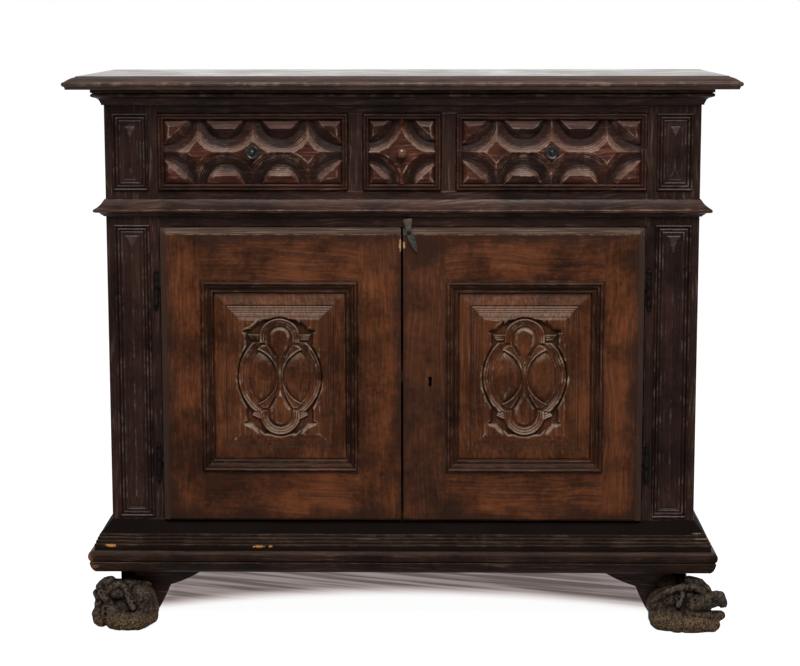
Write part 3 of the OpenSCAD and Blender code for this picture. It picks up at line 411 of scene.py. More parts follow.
def door_darkening(tree, coords):
    """Dark ragged band along the outer edges of both doors, wider at their tops, and darker
    patches round the latch and the meeting stiles."""
    parts = axes_of(tree, coords)
    across = maths(tree, "ABSOLUTE", parts["X"])
    nearest = minus(tree, DOOR_REACH, across)
    for gap in (minus(tree, parts["Z"], DOOR_FOOT), minus(tree, DOOR_HEAD, parts["Z"]),
                plus(tree, times(tree, across, 1.5), 0.002)):
        nearest = maths(tree, "MINIMUM", nearest, gap)
    ragged = minus(tree, speckle(tree, coords, 13.0, 5.0, 0.65), 0.5)
    nearest = plus(tree, nearest, times(tree, ragged, 0.11))
    darkening = stepped(tree, nearest, 0.006, 0.036, 0.80, 0.0)
    for middle, reach, depth in DOOR_DARK_PATCHES:
        far = plus(tree, away_from(tree, coords, middle, reach), times(tree, ragged, 2.2))
        own_door = stepped(tree, parts["X"], -0.001, 0.001, float(middle[0] < 0),
                           float(middle[0] > 0))
        dark_patch = times(tree, stepped(tree, far, 0.45, 1.25, depth, 0.0), own_door)
        darkening = larger(tree, darkening, dark_patch)
    return darkening


def painted_door_bevel(tree, coords):
    """Duller band along the top edges of both doors, painted where a bevel is not modelled; with the
    streaks and the line, it is the bevel's painted light and shade.
    """
    return stepped(tree, along_axis(tree, coords, "Z"), 0.7652, 0.7662, 0.0, 0.9)


def painted_door_bevel_sheen(tree, coords):
    """Pale streaks along that band: painted sheen of the bevel."""
    lines = speckle(tree, stretched(tree, coords, (7, 420, 420)), 1.0, 4.0, 0.65)
    return times(tree, stepped(tree, along_axis(tree, coords, "Z"), 0.7654, 0.7664),
                 stepped(tree, lines, 0.48, 0.66, 0.0, 0.8))


def painted_door_bevel_highlight(tree, coords):
    """Thin light line where that band ends, broken like wear: a painted highlight on the bevel's edge.
    """
    up = along_axis(tree, coords, "Z")
    band = times(tree, stepped(tree, up, 0.7632, 0.7642), stepped(tree, up, 0.7658, 0.7650))
    broken = stepped(tree, speckle(tree, coords, 60.0, 4.0, 0.7), 0.42, 0.60, 0.1, 0.75)
    return times(tree, band, broken)


def painted_door_side_shade(tree, coords):
    """Dark band along the hinge edges of both doors: painted shade of a bevel that is not modelled."""
    across = maths(tree, "ABSOLUTE", along_axis(tree, coords, "X"))
    lines = speckle(tree, stretched(tree, coords, (500, 500, 9)), 1.0, 3.0)
    return times(tree, stepped(tree, across, 0.4462, 0.4470),
                 stepped(tree, lines, 0.40, 0.62, 0.9, 0.55))


def plinth_darkening(tree, coords):
    """Near-black on the plinth's slope, right under the doors."""
    return stepped(tree, along_axis(tree, coords, "Z"), 0.186, 0.1895)


def finishes():
    """What each walnut of the credenza gives to waxed()."""
    own = colours()
    # The sheen amounts and colours below paint a sheen on surfaces that face up, with a dusty haze
    return {
        "dark_walnut": dict(
            wood=own.dark_walnut, rub=0.85, bloom_and_sheen=0.06, roughness=0.42, specular=0.17, mottle=0.8,
            rubbed=(0.135, 0.092, 0.074), streaks=0.45),
        "pilaster_walnut": dict(
            wood=own.dark_walnut, rub=0.85, bloom_and_sheen=0.75, roughness=0.42, specular=0.16, mottle=0.8,
            rubbed=(0.105, 0.072, 0.058), dusty_sheen=(0.150, 0.122, 0.112), streaks=0.16),
        # Lighter than the carcass walnut, with brighter rubbed lines: painted light that offsets the
        # shade on the cornice and waist moulding
        "lightened_moulded_walnut": dict(
            wood=(0.048, 0.0190, 0.0118), rub=0.9, bloom_and_sheen=0.06, specular=0.17, mottle=0.8,
            rubbed=(0.200, 0.130, 0.096), streaks=0.40),
        "door_walnut": dict(
            wood=own.door_walnut, deep=(0.021, 0.0080, 0.0042), rub=0.45, bloom_and_sheen=0.16,
            roughness=0.46, specular=0.14, mottle=1.0, streaks=0.24, darkening=door_darkening,
            rubbed=(0.150, 0.070, 0.038), dusty_sheen=(0.175, 0.112, 0.080),
            stains=((LATCH_CHIPS, (0.36, 0.200, 0.10)), (painted_door_bevel, (0.052, 0.030, 0.021)),
                    (painted_door_bevel_sheen, (0.170, 0.115, 0.085)),
                    (painted_door_bevel_highlight, (0.190, 0.115, 0.080)),
                    (painted_door_side_shade, (0.042, 0.024, 0.017)))),
        "red_walnut": dict(
            wood=own.red_walnut, rub=1.0, bloom_and_sheen=0.72, specular=0.11, mottle=0.9,
            rubbed=(0.340, 0.225, 0.168), dusty_sheen=(0.205, 0.134, 0.104), streaks=0.26),
        "panel_walnut": dict(
            wood=(0.110, 0.0340, 0.0112), deep=(0.018, 0.0068, 0.0036), rub=1.0, bloom_and_sheen=0.80,
            roughness=0.44, specular=0.11, mottle=0.8, rubbed=(0.320, 0.230, 0.165),
            dusty_sheen=(0.235, 0.172, 0.128), streaks=0.10),
        "moulding_walnut": dict(
            wood=(0.056, 0.0185, 0.0082), rub=0.85, bloom_and_sheen=0.22, roughness=0.38, specular=0.10,
            mottle=0.8, rubbed=(0.185, 0.108, 0.072), dusty_sheen=(0.110, 0.064, 0.044), streaks=0.22),
        "plinth_walnut": dict(
            wood=(0.0265, 0.0128, 0.0084), rub=0.80, bloom_and_sheen=0.40, roughness=0.42, specular=0.07,
            mottle=0.8, darkening=plinth_darkening, rubbed=(0.185, 0.122, 0.082),
            dusty_sheen=(0.078, 0.050, 0.035), streaks=0.33,
            stains=((PLINTH_CHIPS, own.fresh_wood), (PLINTH_SCRAPES, (0.125, 0.092, 0.064)),
                    (PLINTH_RED_END, (0.200, 0.072, 0.036)))),
        "top_walnut": dict(wood=own.red_walnut, rub=0.5, bloom_and_sheen=0.45, roughness=0.19,
                           bump=0.00004),
        "nose_walnut": dict(wood=(0.062, 0.028, 0.018), rub=0.8, bloom_and_sheen=0.06, roughness=0.42,
                            specular=0.26),
        "knob_walnut": dict(wood=(0.150, 0.060, 0.028), rub=0.2, bloom_and_sheen=0.0, roughness=0.16,
                            mottle=0.3),
    }


def walnut(name, along):
    return waxed(name, along, **finishes()[name])


def shaded(colour, red, green, blue):
    return (colour[0] * red, colour[1] * green, colour[2] * blue, 1.0)


def inside_wood(along):
    """Plain sawn boards, unfinished and dry."""
    label = "inside_wood_" + along.lower()
    if label in bpy.data.materials:
        return bpy.data.materials[label]
    wood = colours().plain_wood
    made, tree = blank_material(label, wood)
    coords, turned = grain_places(tree, along)
    bands, fibres, pores = use_group(tree, grain_group(), {"Vector": turned}).outputs
    tone = blended(tree, stepped(tree, bands, 0.30, 0.70), shaded(wood, 0.62, 0.58, 0.54),
                   rgba(wood))
    tone = blended(tree, stepped(tree, fibres, 0.60, 0.34, 0.0, 0.45), tone,
                   shaded(wood, 0.40, 0.36, 0.32))
    stain = stepped(tree, speckle(tree, coords, 4.0, 4.0), 0.45, 0.70, 0.0, 0.5)
    tone = blended(tree, stain, tone, (0.075, 0.050, 0.032, 1.0))
    tone = blended(tree, times(tree, pores, 0.4), tone, (0.05, 0.03, 0.02, 1.0))
    finished(tree, tone, 0.78, fibres, 0.0003)
    return made


def metal(name, colour, roughness, spots, metallic=0.85, stains=()):
    """Old metal with darker spots and a pitted surface."""
    if name in bpy.data.materials:
        return bpy.data.materials[name]
    made, tree = blank_material(name, colour)
    coords = object_place(tree)
    blots = speckle(tree, coords, 120.0, 4.0, 0.65)
    tone = blended(tree, stepped(tree, blots, 0.42, 0.62), rgba(colour), rgba(spots))
    for places, stain in stains:
        tone = blended(tree, patches(tree, coords, places), tone, rgba(stain))
    rough = stepped(tree, blots, 0.35, 0.65, roughness, min(1.0, roughness + 0.25))
    pits = speckle(tree, coords, 420.0, 2.0)
    finished(tree, tone, rough, pits, 0.00025, metallic=metallic)
    return made


def old_iron():
    return metal("old_iron", colours().iron, 0.60, (0.007, 0.0052, 0.0042), 0.9)


def knob_iron():
    return metal("knob_iron", (0.066, 0.064, 0.060), 0.34, (0.016, 0.013, 0.011))


def dull_bronze():
    return metal("dull_bronze", colours().bronze, 0.44, (0.030, 0.027, 0.021), 0.55,
                 ((LATCH_TAIL, (0.046, 0.030, 0.017)),))


def bark_of_paw():
    """Dry carved wood, bare and sandy towards the floor."""
    if "paw_wood" in bpy.data.materials:
        return bpy.data.materials["paw_wood"]
    pit, bark, crumb = (0.0062, 0.0038, 0.0025), (0.054, 0.034, 0.021), (0.090, 0.064, 0.045)
    scuffed, damp_sand, shade_and_dirt_black = (0.125, 0.095, 0.072), (0.034, 0.020, 0.012), (0.0052, 0.0036, 0.0030)
    made, tree = blank_material("paw_wood", colours().dark_walnut)
    coords = object_place(tree)
    mounds = speckle(tree, coords, 46.0, 6.0, 0.68)
    crumbs = speckle(tree, coords, 330.0, 4.0, 0.65)
    dark = blended(tree, stepped(tree, mounds, 0.38, 0.68), rgba(pit), rgba(bark))
    dark = blended(tree, stepped(tree, crumbs, 0.56, 0.76, 0.0, 0.22), dark, rgba(crumb))
    dark = blended(tree, times(tree, painted(tree, "worn"), 0.7, True), dark, rgba(scuffed))
    rise = plus(tree, along_axis(tree, coords, "Z"), times(tree, minus(tree, mounds, 0.5), 0.13))
    bare = stepped(tree, rise, 0.046, 0.010)
    sand = blended(tree, stepped(tree, crumbs, 0.40, 0.64), rgba(damp_sand),
                   rgba(colours().sandy_foot))
    tone = blended(tree, bare, dark, sand)
    # Painted shade and dirt: the hollows and dents go near-black
    tone = blended(tree, times(tree, painted(tree, "shade_and_dirt"), 0.97, True), tone, rgba(shade_and_dirt_black))
    rough = stepped(tree, bare, 0.0, 1.0, 0.42, 0.95)
    crust = times(tree, crumbs, stepped(tree, bare, 0.0, 1.0, 0.35, 1.0))
    height = plus(tree, crust, times(tree, mounds, 1.2))
    finished(tree, tone, rough, height, 0.0014, specular=0.09)
    return made


# Shapes

def merged(*names):
    """The CAD meshes of some nodes as one bmesh, its loose triangles joined into faces."""
    bm = bmesh.new()
    for name in names:
        bm.from_mesh(CAD[name].data)
    bmesh.ops.remove_doubles(bm, verts=bm.verts, dist=0.004 * MM)
    bmesh.ops.dissolve_limit(bm, angle_limit=math.radians(0.5), verts=bm.verts, edges=bm.edges)
    return bm


def worn_layer(bm):
    return bm.loops.layers.float.get("worn") or bm.loops.layers.float.new("worn")


def round_edges(bm, radius, sharp=35.0, segments=2):
    """Rounds the outward edges and marks the new faces as worn."""
    edges = [e for e in bm.edges if e.is_manifold and e.is_convex
             and e.calc_face_angle(0.0) > math.radians(sharp)]
    made = bmesh.ops.bevel(bm, geom=edges, offset=radius, offset_type="OFFSET",
                           segments=segments, profile=0.5, affect="EDGES",
                           clamp_overlap=True, material=-1)
    layer = worn_layer(bm)
    for face in made["faces"]:
        for loop in face.loops:
            loop[layer] = 1.0


def slice_up(bm, axis, step):
    """Cuts every face at even steps along an axis, so that it can waver."""
    places = [v.co[axis] for v in bm.verts]
    low, high = min(places), max(places)
    count = int((high - low) / step)
    across = Vector((axis == 0, axis == 1, axis == 2))
    for i in range(1, count):
        place = low + (high - low) * i / count
        bmesh.ops.bisect_plane(bm, geom=bm.verts[:] + bm.edges[:] + bm.faces[:],
                               plane_co=across * place, plane_no=across, dist=0.001 * MM)


def let_waver(bm, amount, wavelength=0.11, seed=0.0):
    """Moves points a little, never out of the bmesh's own box; the same in every run."""
    noise.seed_set(11)
    low = Vector([min(v.co[i] for v in bm.verts) for i in range(3)])
    high = Vector([max(v.co[i] for v in bm.verts) for i in range(3)])
    start = Vector((seed, seed * 1.7, -seed))
    for vert in bm.verts:
        far = noise.noise_vector(vert.co / wavelength + start) * amount
        near = noise.noise_vector(vert.co / (wavelength * 0.18) + start) * amount * 0.35
        moved = vert.co + far + near
        vert.co = Vector([min(max(moved[i], low[i]), high[i]) for i in range(3)])


def as_object(bm, name, materials, pick=None, smooth_angle=None):
    """Object from a bmesh; pick(face) gives a face its material's number."""
    if pick is not None:
        for face in bm.faces:
            face.material_index = pick(face)
    mesh = bpy.data.meshes.new(name)
    bm.to_mesh(mesh)
    bm.free()
    if smooth_angle is not None:
        mesh.shade_smooth()
        mesh.set_sharp_from_angle(angle=math.radians(smooth_angle))
    for material in materials:
        mesh.materials.append(material)
    made = bpy.data.objects.new(name, mesh)
    bpy.context.scene.collection.objects.link(made)
    return made


def seat(piece, slot, *names):
    """Makes a piece stand for its CAD nodes and ride with them."""
    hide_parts(*names)
    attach(piece, BODY_OF[names[0]])


def board(name, slot, materials, *names, pick=None, edge=None):
    """Plain boards with rounded, rubbed edges."""
    bm = merged(*names)
    round_edges(bm, edge or sizes().board_edge)
    seat(as_object(bm, name, materials, pick), slot, *names)


def moulding(name, slot, material, axis, node, seed, sharp=20.0):
    """Moulding with crisp lines that wavers as if planed by hand."""
    bm = merged(node)
    round_edges(bm, sizes().moulding_edge, sharp)
    slice_up(bm, axis, sizes().slice_length)
    let_waver(bm, sizes().waver, seed=seed)
    seat(as_object(bm, name, [material], smooth_angle=22.0), slot, node)


def hollows(profile):
    """For each point of a closed profile, how far it lies in a groove, from 0 to 1."""
    count = len(profile)
    area = sum(profile[i - 1][0] * profile[i][1] - profile[i][0] * profile[i - 1][1]
               for i in range(count))
    found = []
    for i in range(count):
        a, b, c = (Vector(profile[j % count]) for j in (i - 1, i, i + 1))
        first, second = b - a, c - b
        turn = (first.x * second.y - first.y * second.x) / (first.length * second.length)
        found.append(min(1.0, max(0.0, -turn * (1 if area > 0 else -1) * 1.4)))
    return found


def dressed(node, material):
    """Gives a CAD node its finish."""
    CAD[node].data.materials.clear()
    CAD[node].data.materials.append(material)


def face_of(node):
    """A board's face in X and Z, in metres, and half its width and height, in millimetres."""
    low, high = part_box(node)
    half = ((high.x - low.x) / 2 / MM, (high.z - low.z) / 2 / MM)
    return ((low.x, high.x), (low.z, high.z)), half


def ring_of(bm, places, profile):
    """New points at some places, darkened in the profile's grooves there as painted shade and dirt."""
    # This layer darkens the grooves: painted shade and dirt
    dirt = bm.verts.layers.float.get("shade_and_dirt") or bm.verts.layers.float.new("shade_and_dirt")
    ring = []
    for place, hollow in zip(places, hollows(profile)):
        vert = bm.verts.new(place)
        vert[dirt] = hollow
        ring.append(vert)
    return ring


def framed(name, slot, materials, node, profile, pick, seed):
    """Moulding round an opening, mitred at its corners, from a closed list of points (in
    from the edge of the opening, out from the panel), in millimetres."""
    low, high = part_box(node)
    bm = bmesh.new()
    rings = []
    for side_x, side_z in ((-1, -1), (1, -1), (1, 1), (-1, 1)):
        edge_x = low.x if side_x < 0 else high.x
        edge_z = low.z if side_z < 0 else high.z
        places = [(edge_x - side_x * inward * MM, high.y - out * MM, edge_z - side_z * inward * MM)
                  for inward, out in profile]
        rings.append(ring_of(bm, places, profile))
    for i in range(4):
        first, second = rings[i], rings[(i + 1) % 4]
        for j in range(len(profile)):
            k = (j + 1) % len(profile)
            bm.faces.new((first[j], second[j], second[k], first[k]))
    bmesh.ops.recalc_face_normals(bm, faces=bm.faces)
    round_edges(bm, sizes().moulding_edge * 0.5, 24.0)
    for axis in (0, 2):
        slice_up(bm, axis, sizes().slice_length)
    let_waver(bm, sizes().waver * 0.7, seed=seed)
    seat(as_object(bm, name, materials, pick, 22.0), slot, node)


def mitred(name, material, part, node, profile, seed):
    """Front length or side return of a moulding from its own profile, a list of points
    (out from the body, up), in millimetres; mitred at the front corners, planed by hand."""
    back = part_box(node)[1].y
    half = (CAD_FRONT_HALF - 0.05) * MM
    front = CAD_FRONT * MM
    side = -1 if part == "left" else 1
    bm = bmesh.new()
    ends = []
    for end in (0, 1):
        places = []
        for out, up in profile:
            out, up = out * MM, up * MM
            if part == "front":
                places.append(((-1, 1)[end] * (half + out), front - out, up))
            else:
                places.append((side * (half + 0.1 * MM + out), (front - out, back)[end], up))
        ends.append(ring_of(bm, places, profile))
    for i in range(len(profile)):
        j = (i + 1) % len(profile)
        bm.faces.new((ends[0][i], ends[0][j], ends[1][j], ends[1][i]))
    bm.faces.new(ends[0][::-1])
    bm.faces.new(ends[1])
    bmesh.ops.recalc_face_normals(bm, faces=bm.faces)
    round_edges(bm, sizes().moulding_edge * 0.6, 24.0)
    slice_up(bm, 0 if part == "front" else 1, sizes().slice_length)
    let_waver(bm, sizes().waver, seed=seed)
    seat(as_object(bm, name, [material], smooth_angle=22.0), "walnut_dark", node)


def blurred(height, radius, step):
    """A grid of heights, smoothed over a radius."""
    reach = max(1, int(math.ceil(3.0 * radius / step)))
    steps = np.arange(-reach, reach + 1) * step / radius
    weights = np.exp(-0.5 * steps ** 2)
    weights /= weights.sum()
    padded = np.pad(height, reach, mode="edge")
    rows = sum(w * padded[i:i + height.shape[0], :] for i, w in enumerate(weights))
    return sum(w * rows[:, i:i + height.shape[1]] for i, w in enumerate(weights))


def wandering(u, v, amount, wavelength, seed):
    """Smooth random heights in millimetres, the same in every run."""
    total = np.zeros_like(u)
    draw = np.random.default_rng(seed)
    for octave in range(5):
        size = wavelength / 1.7 ** octave
        for _ in range(4):
            turn, start = draw.uniform(0, 2 * math.pi, 2)
            along = u * math.cos(turn) + v * math.sin(turn)
            total += np.sin(along * 2 * math.pi / size + start) / 1.5 ** octave
    return total * amount / 6.0


def rising(value, low, high):
    """Smooth step from 0 at low to 1 at high."""
    t = np.clip((value - low) / (high - low), 0.0, 1.0)
    return t * t * (3.0 - 2.0 * t)


def point_layer(made, label, values):
    """Keeps one number for each point of a mesh, for its material to read."""
    layer = made.data.attributes.new(label, "FLOAT", "POINT")
    layer.data.foreach_set("value", values)


def carving_wear_and_shade(height, painted_shade, inset, step, crease, hollow_shade_and_dirt, calm, rim, shade_below):
    """How worn a carving is, and how far its creases and hollows are darkened as painted shade
    and dirt, from its heights, the distance of each point inside the board's rim and the
    distance between two points, all in millimetres."""
    fine, broad = 1.3, 7.0
    near, wide = blurred(height, fine, step), blurred(height, broad, step)
    inner = rising(inset, calm - 1.0, calm + 1.0)
    worn = np.clip((height - near) * 6.5 - 0.20, 0, 1) * (0.16 + 0.84 * inner)
    # Creases and hollows darkened: painted shade and dirt
    shade_and_dirt = np.clip((near - height) * crease + (wide - height) * hollow_shade_and_dirt - 0.12, 0, 1)
    shade_and_dirt = np.maximum(np.maximum(shade_and_dirt, rim * (1.0 - inner)), painted_shade)
    if shade_below is not None:
        # Painted shade: the deepest parts of the carving go dark
        shade_and_dirt = np.maximum(shade_and_dirt, 0.88 * rising(shade_below - height, 0.0, 5.5))
    return worn, shade_and_dirt


def tongues(bm, box, tongue, front, back):
    """Fills a board's plain edge, from its carved face out to the tongue's box."""
    (x0, x1), (z0, z1) = box
    low, high = tongue
    lap = 1.0 * MM
    for a, b in (((low.x, low.z), (x0 + lap, high.z)), ((x1 - lap, low.z), (high.x, high.z)),
                 ((x0, low.z), (x1, z0 + lap)), ((x0, z1 - lap), (x1, high.z))):
        middle = Vector(((a[0] + b[0]) / 2, (front + back) / 2, (a[1] + b[1]) / 2))
        size = Vector((b[0] - a[0], back - front, b[1] - a[1]))
        bmesh.ops.create_cube(bm, size=1.0, matrix=Matrix.Translation(middle)
                              @ Matrix.Diagonal((*size, 1.0)))


def carved(name, slot, material, node, box, plane, back, height_of, seed, smooth=0.45,
           hollow_shade_and_dirt=0.20, crease=1.7, calm=0.0, rim=0.0, shade_below=None, tongue=None):
    """Board whose front is carved: box is its face in X and Z, plane its datum, all in metres;
    height_of(u, v) gives millimetres out of that datum, from the middle of the face, and how
    dark it is painted there as shade. Creases and hollows are darkened as painted shade and
    dirt, and below a given depth the carving is darkened as painted shade; edges are rubbed
    less, and the wood is darkened by rim within calm millimetres of the rim. tongue is the
    box, low and high, that the board's plain edge fills behind its moulding."""
    (x0, x1), (z0, z1) = box
    step = sizes().carving_step
    bm = bmesh.new()
    bmesh.ops.create_grid(bm, x_segments=max(8, round((x1 - x0) / step)),
                          y_segments=max(8, round((z1 - z0) / step)), size=0.5,
                          matrix=Matrix.Rotation(math.pi / 2, 4, "X"))
    bm.verts.ensure_lookup_table()
    grid = np.array([v.co for v in bm.verts])
    share_x, share_z = ((line - line.min()) / (line.max() - line.min())
                        for line in (grid[:, 0], grid[:, 2]))
    u = (share_x - 0.5) * (x1 - x0) / MM
    v = (share_z - 0.5) * (z1 - z0) / MM
    order = np.lexsort((u.round(4), v.round(4)))
    rows = len(np.unique(v.round(4)))
    flat_u, flat_v = (line[order].reshape(rows, len(u) // rows) for line in (u, v))
    height, painted_shade = height_of(flat_u, flat_v)
    height = blurred(height, smooth, step / MM) + wandering(flat_u, flat_v, 0.25, 34.0, seed)
    inset = np.minimum((x1 - x0) / 2 / MM - np.abs(flat_u), (z1 - z0) / 2 / MM - np.abs(flat_v))
    worn, shade_and_dirt = carving_wear_and_shade(height, painted_shade, inset, step / MM, crease, hollow_shade_and_dirt, calm, rim,
                                shade_below)
    values = {}
    for label, source in (("height", height), ("worn", worn), ("shade_and_dirt", shade_and_dirt)):
        values[label] = np.empty(len(u))
        values[label][order] = source.ravel()
    for vert, x, y, z in zip(bm.verts, x0 + share_x * (x1 - x0), plane - values["height"] * MM,
                             z0 + share_z * (z1 - z0)):
        vert.co = (x, y, z)
    pulled = bmesh.ops.extrude_edge_only(bm, edges=[e for e in bm.edges if e.is_boundary])
    for item in pulled["geom"]:
        if isinstance(item, bmesh.types.BMVert):
            item.co.y = back
    bmesh.ops.contextual_create(bm, geom=[e for e in bm.edges if e.is_boundary])
    bmesh.ops.recalc_face_normals(bm, faces=bm.faces)
    if tongue is not None:
        tongues(bm, box, tongue, plane, back)
    total = len(bm.verts)
    made = as_object(bm, name, [material], smooth_angle=48.0)
    for label in ("worn", "shade_and_dirt"):
        full = np.zeros(total, np.float32)
        full[:len(u)] = values[label]
        point_layer(made, label, full)
    seat(made, slot, node)


# Carved patterns, in millimetres from the middle of their board

def from_ring(u, v, middle_u, middle_v):
    return np.hypot(u - middle_u, v - middle_v)


def grooved(shape, place, line, width, deep):
    """Cuts a small rounded groove where place is near line."""
    return shape - deep * np.exp(-((place - line) / (0.5 * width)) ** 2)


def drawer_border(out):
    """Two thin fillets round the carved field, by the distance outside it."""
    return (-4.6 + 3.6 * rising(out, 0.0, 1.2) - 2.2 * rising(out, 2.6, 4.0)
            + 2.6 * rising(out, 5.6, 6.8) - 1.2 * rising(out, 8.9, 10.0))


def drawer_height(half_u, half_v, columns):
    """Rings cut from both long edges round faceted bosses, with flat stars left between."""
    deep, star, border, edge_deep = 13.5, -0.4, 10.0, -9.0
    field_u, field_v = half_u - border, half_v - border
    ring_ridge, ring_groove, middle_top = 65.3, 38.4, 17.6
    middle_outline = [(0, -9), (37, -9), (37, 0), (19.5, middle_top), (0, middle_top)]
    if columns:
        corner_ridge, corner_groove = 75.4, (57.0, 49.0)
        ridge_a, ridge_b, end_a, end_b, foot = 10.8, 13.8, 34.7, 35.0, 47.0
    else:
        corner_ridge, corner_groove = 63.5, (45.5, 43.5)
        ridge_a, ridge_b, end_a, end_b, foot = 9.6, 13.0, 27.5, 30.0, 39.0
    corner_outline = [(-9, -9), (foot, -9), (foot, 0), (end_a, ridge_b), (ridge_a, end_b),
                      (0, foot), (-9, foot)]

    def cove(distance, groove, ridge):
        """Hollow slope from the groove up to the ridge, with the marks of the gouge."""
        t = np.clip((distance - groove) / (ridge - groove), 0.0, 1.0)
        marks = 0.42 * np.sin(distance * 1.6 + 0.8 * np.sin(distance * 0.7)) * np.sin(t * math.pi)
        return star - deep * (1.0 - (0.40 * t + 0.60 * t ** 2.2)) + marks

    def boss(x, b, outline, face, to_groove, upper):
        """Faceted top inside its outline, falling evenly from there to the groove; also how dark it
        is painted as shade, which is most under the upper bosses."""
        away = np.clip(beyond_outline(x, b, outline), 0.0, None)
        share = np.clip(away / np.maximum(away + np.clip(to_groove, 0, None), 0.01), 0, 1)
        past = rising(away, 0.2, 1.6)
        # Painted shade, darkest under the upper bosses, where the carving faces down
        painted_shade = np.where(upper, 0.50 + 0.42 * past, 0.10 + 0.46 * share)
        marks = 0.42 * np.sin(away * 1.8) * rising(away, 0.5, 3.0)
        return face * (1.0 - share) + (star - deep) * share + marks, painted_shade

    def facet(inward, ridge):
        return edge_deep * (1.0 - np.clip(inward / ridge, 0, 1))

    def height_of(u, v):
        a, b = field_u - np.abs(u), field_v - np.abs(v)
        upper = v > 0
        rings = [(np.abs(u - column), from_ring(u, b, column, 0.0)) for column in columns]
        shape = np.full_like(u, star)
        painted_shade = np.zeros_like(u)
        for _, ring in rings:
            shape = np.minimum(shape, cove(ring, ring_groove, ring_ridge))
        reach = np.hypot(a / corner_groove[0], b / corner_groove[1])
        corner = np.hypot(a, b)
        groove = corner / np.maximum(reach, 0.01)
        shape = np.minimum(shape, cove(corner, groove, corner_ridge))
        for beside, ring in rings:
            gem, gem_shade = boss(beside, b, middle_outline, facet(b, middle_top),
                                 ring_groove - ring, upper)
            shape = np.where(ring < ring_groove, gem, shape)
            painted_shade = np.where(ring < ring_groove, gem_shade, painted_shade)
        face = np.minimum.reduce([facet(b, ridge_b), facet(a, ridge_a),
                                  -0.085 * (a - ridge_a + b - ridge_b)])
        gem, gem_shade = boss(a, b, corner_outline, face, groove * (1.0 - reach), upper)
        shape = np.where(reach < 1.0, gem, shape)
        painted_shade = np.where(reach < 1.0, gem_shade * 0.8, painted_shade)
        out = np.maximum(-a, -b)
        return np.where(out > 0, drawer_border(out), shape), np.where(out > 0, 0.0, painted_shade)

    return height_of


def beyond_outline(x, z, points):
    """Signed distance to a closed outline, negative inside it."""
    nearest = np.full_like(x, 1e6)
    inside = np.zeros(x.shape, bool)
    for (x0, z0), (x1, z1) in zip(points, points[1:] + points[:1]):
        way_x, way_z = x1 - x0, z1 - z0
        share = np.clip(((x - x0) * way_x + (z - z0) * way_z) / (way_x ** 2 + way_z ** 2), 0, 1)
        nearest = np.minimum(nearest, np.hypot(x - x0 - share * way_x, z - z0 - share * way_z))
        if way_z:
            crossing = x0 + (z - z0) * way_x / way_z
            inside ^= ((z0 > z) != (z1 > z)) & (x < crossing)
    return np.where(inside, -nearest, nearest)


POCKET = [(0, 0), (80.6, 0), (77.6, 24), (70, 44), (61.5, 60), (62.5, 66), (62.5, 86),
          (52, 89), (45, 96), (38, 102), (30, 109), (0, 112)]


def strap(inward, width, ground, top):
    """Band that rolls over near its outer edge, then falls inwards in three steps."""
    edge = rising(inward, -1.0, 2.2) * rising(width - inward, -1.0, 1.2)
    body = top - 0.74 * np.clip(inward - 3.2, 0, 12.0)
    body = grooved(body, inward, 5.6, 2.0, 1.6)
    body = grooved(body, inward, 10.2, 2.0, 1.5)
    body = grooved(body, inward, 14.2, 1.8, 1.2)
    return np.where(edge > 0, ground + (body - ground) * edge, -50.0)


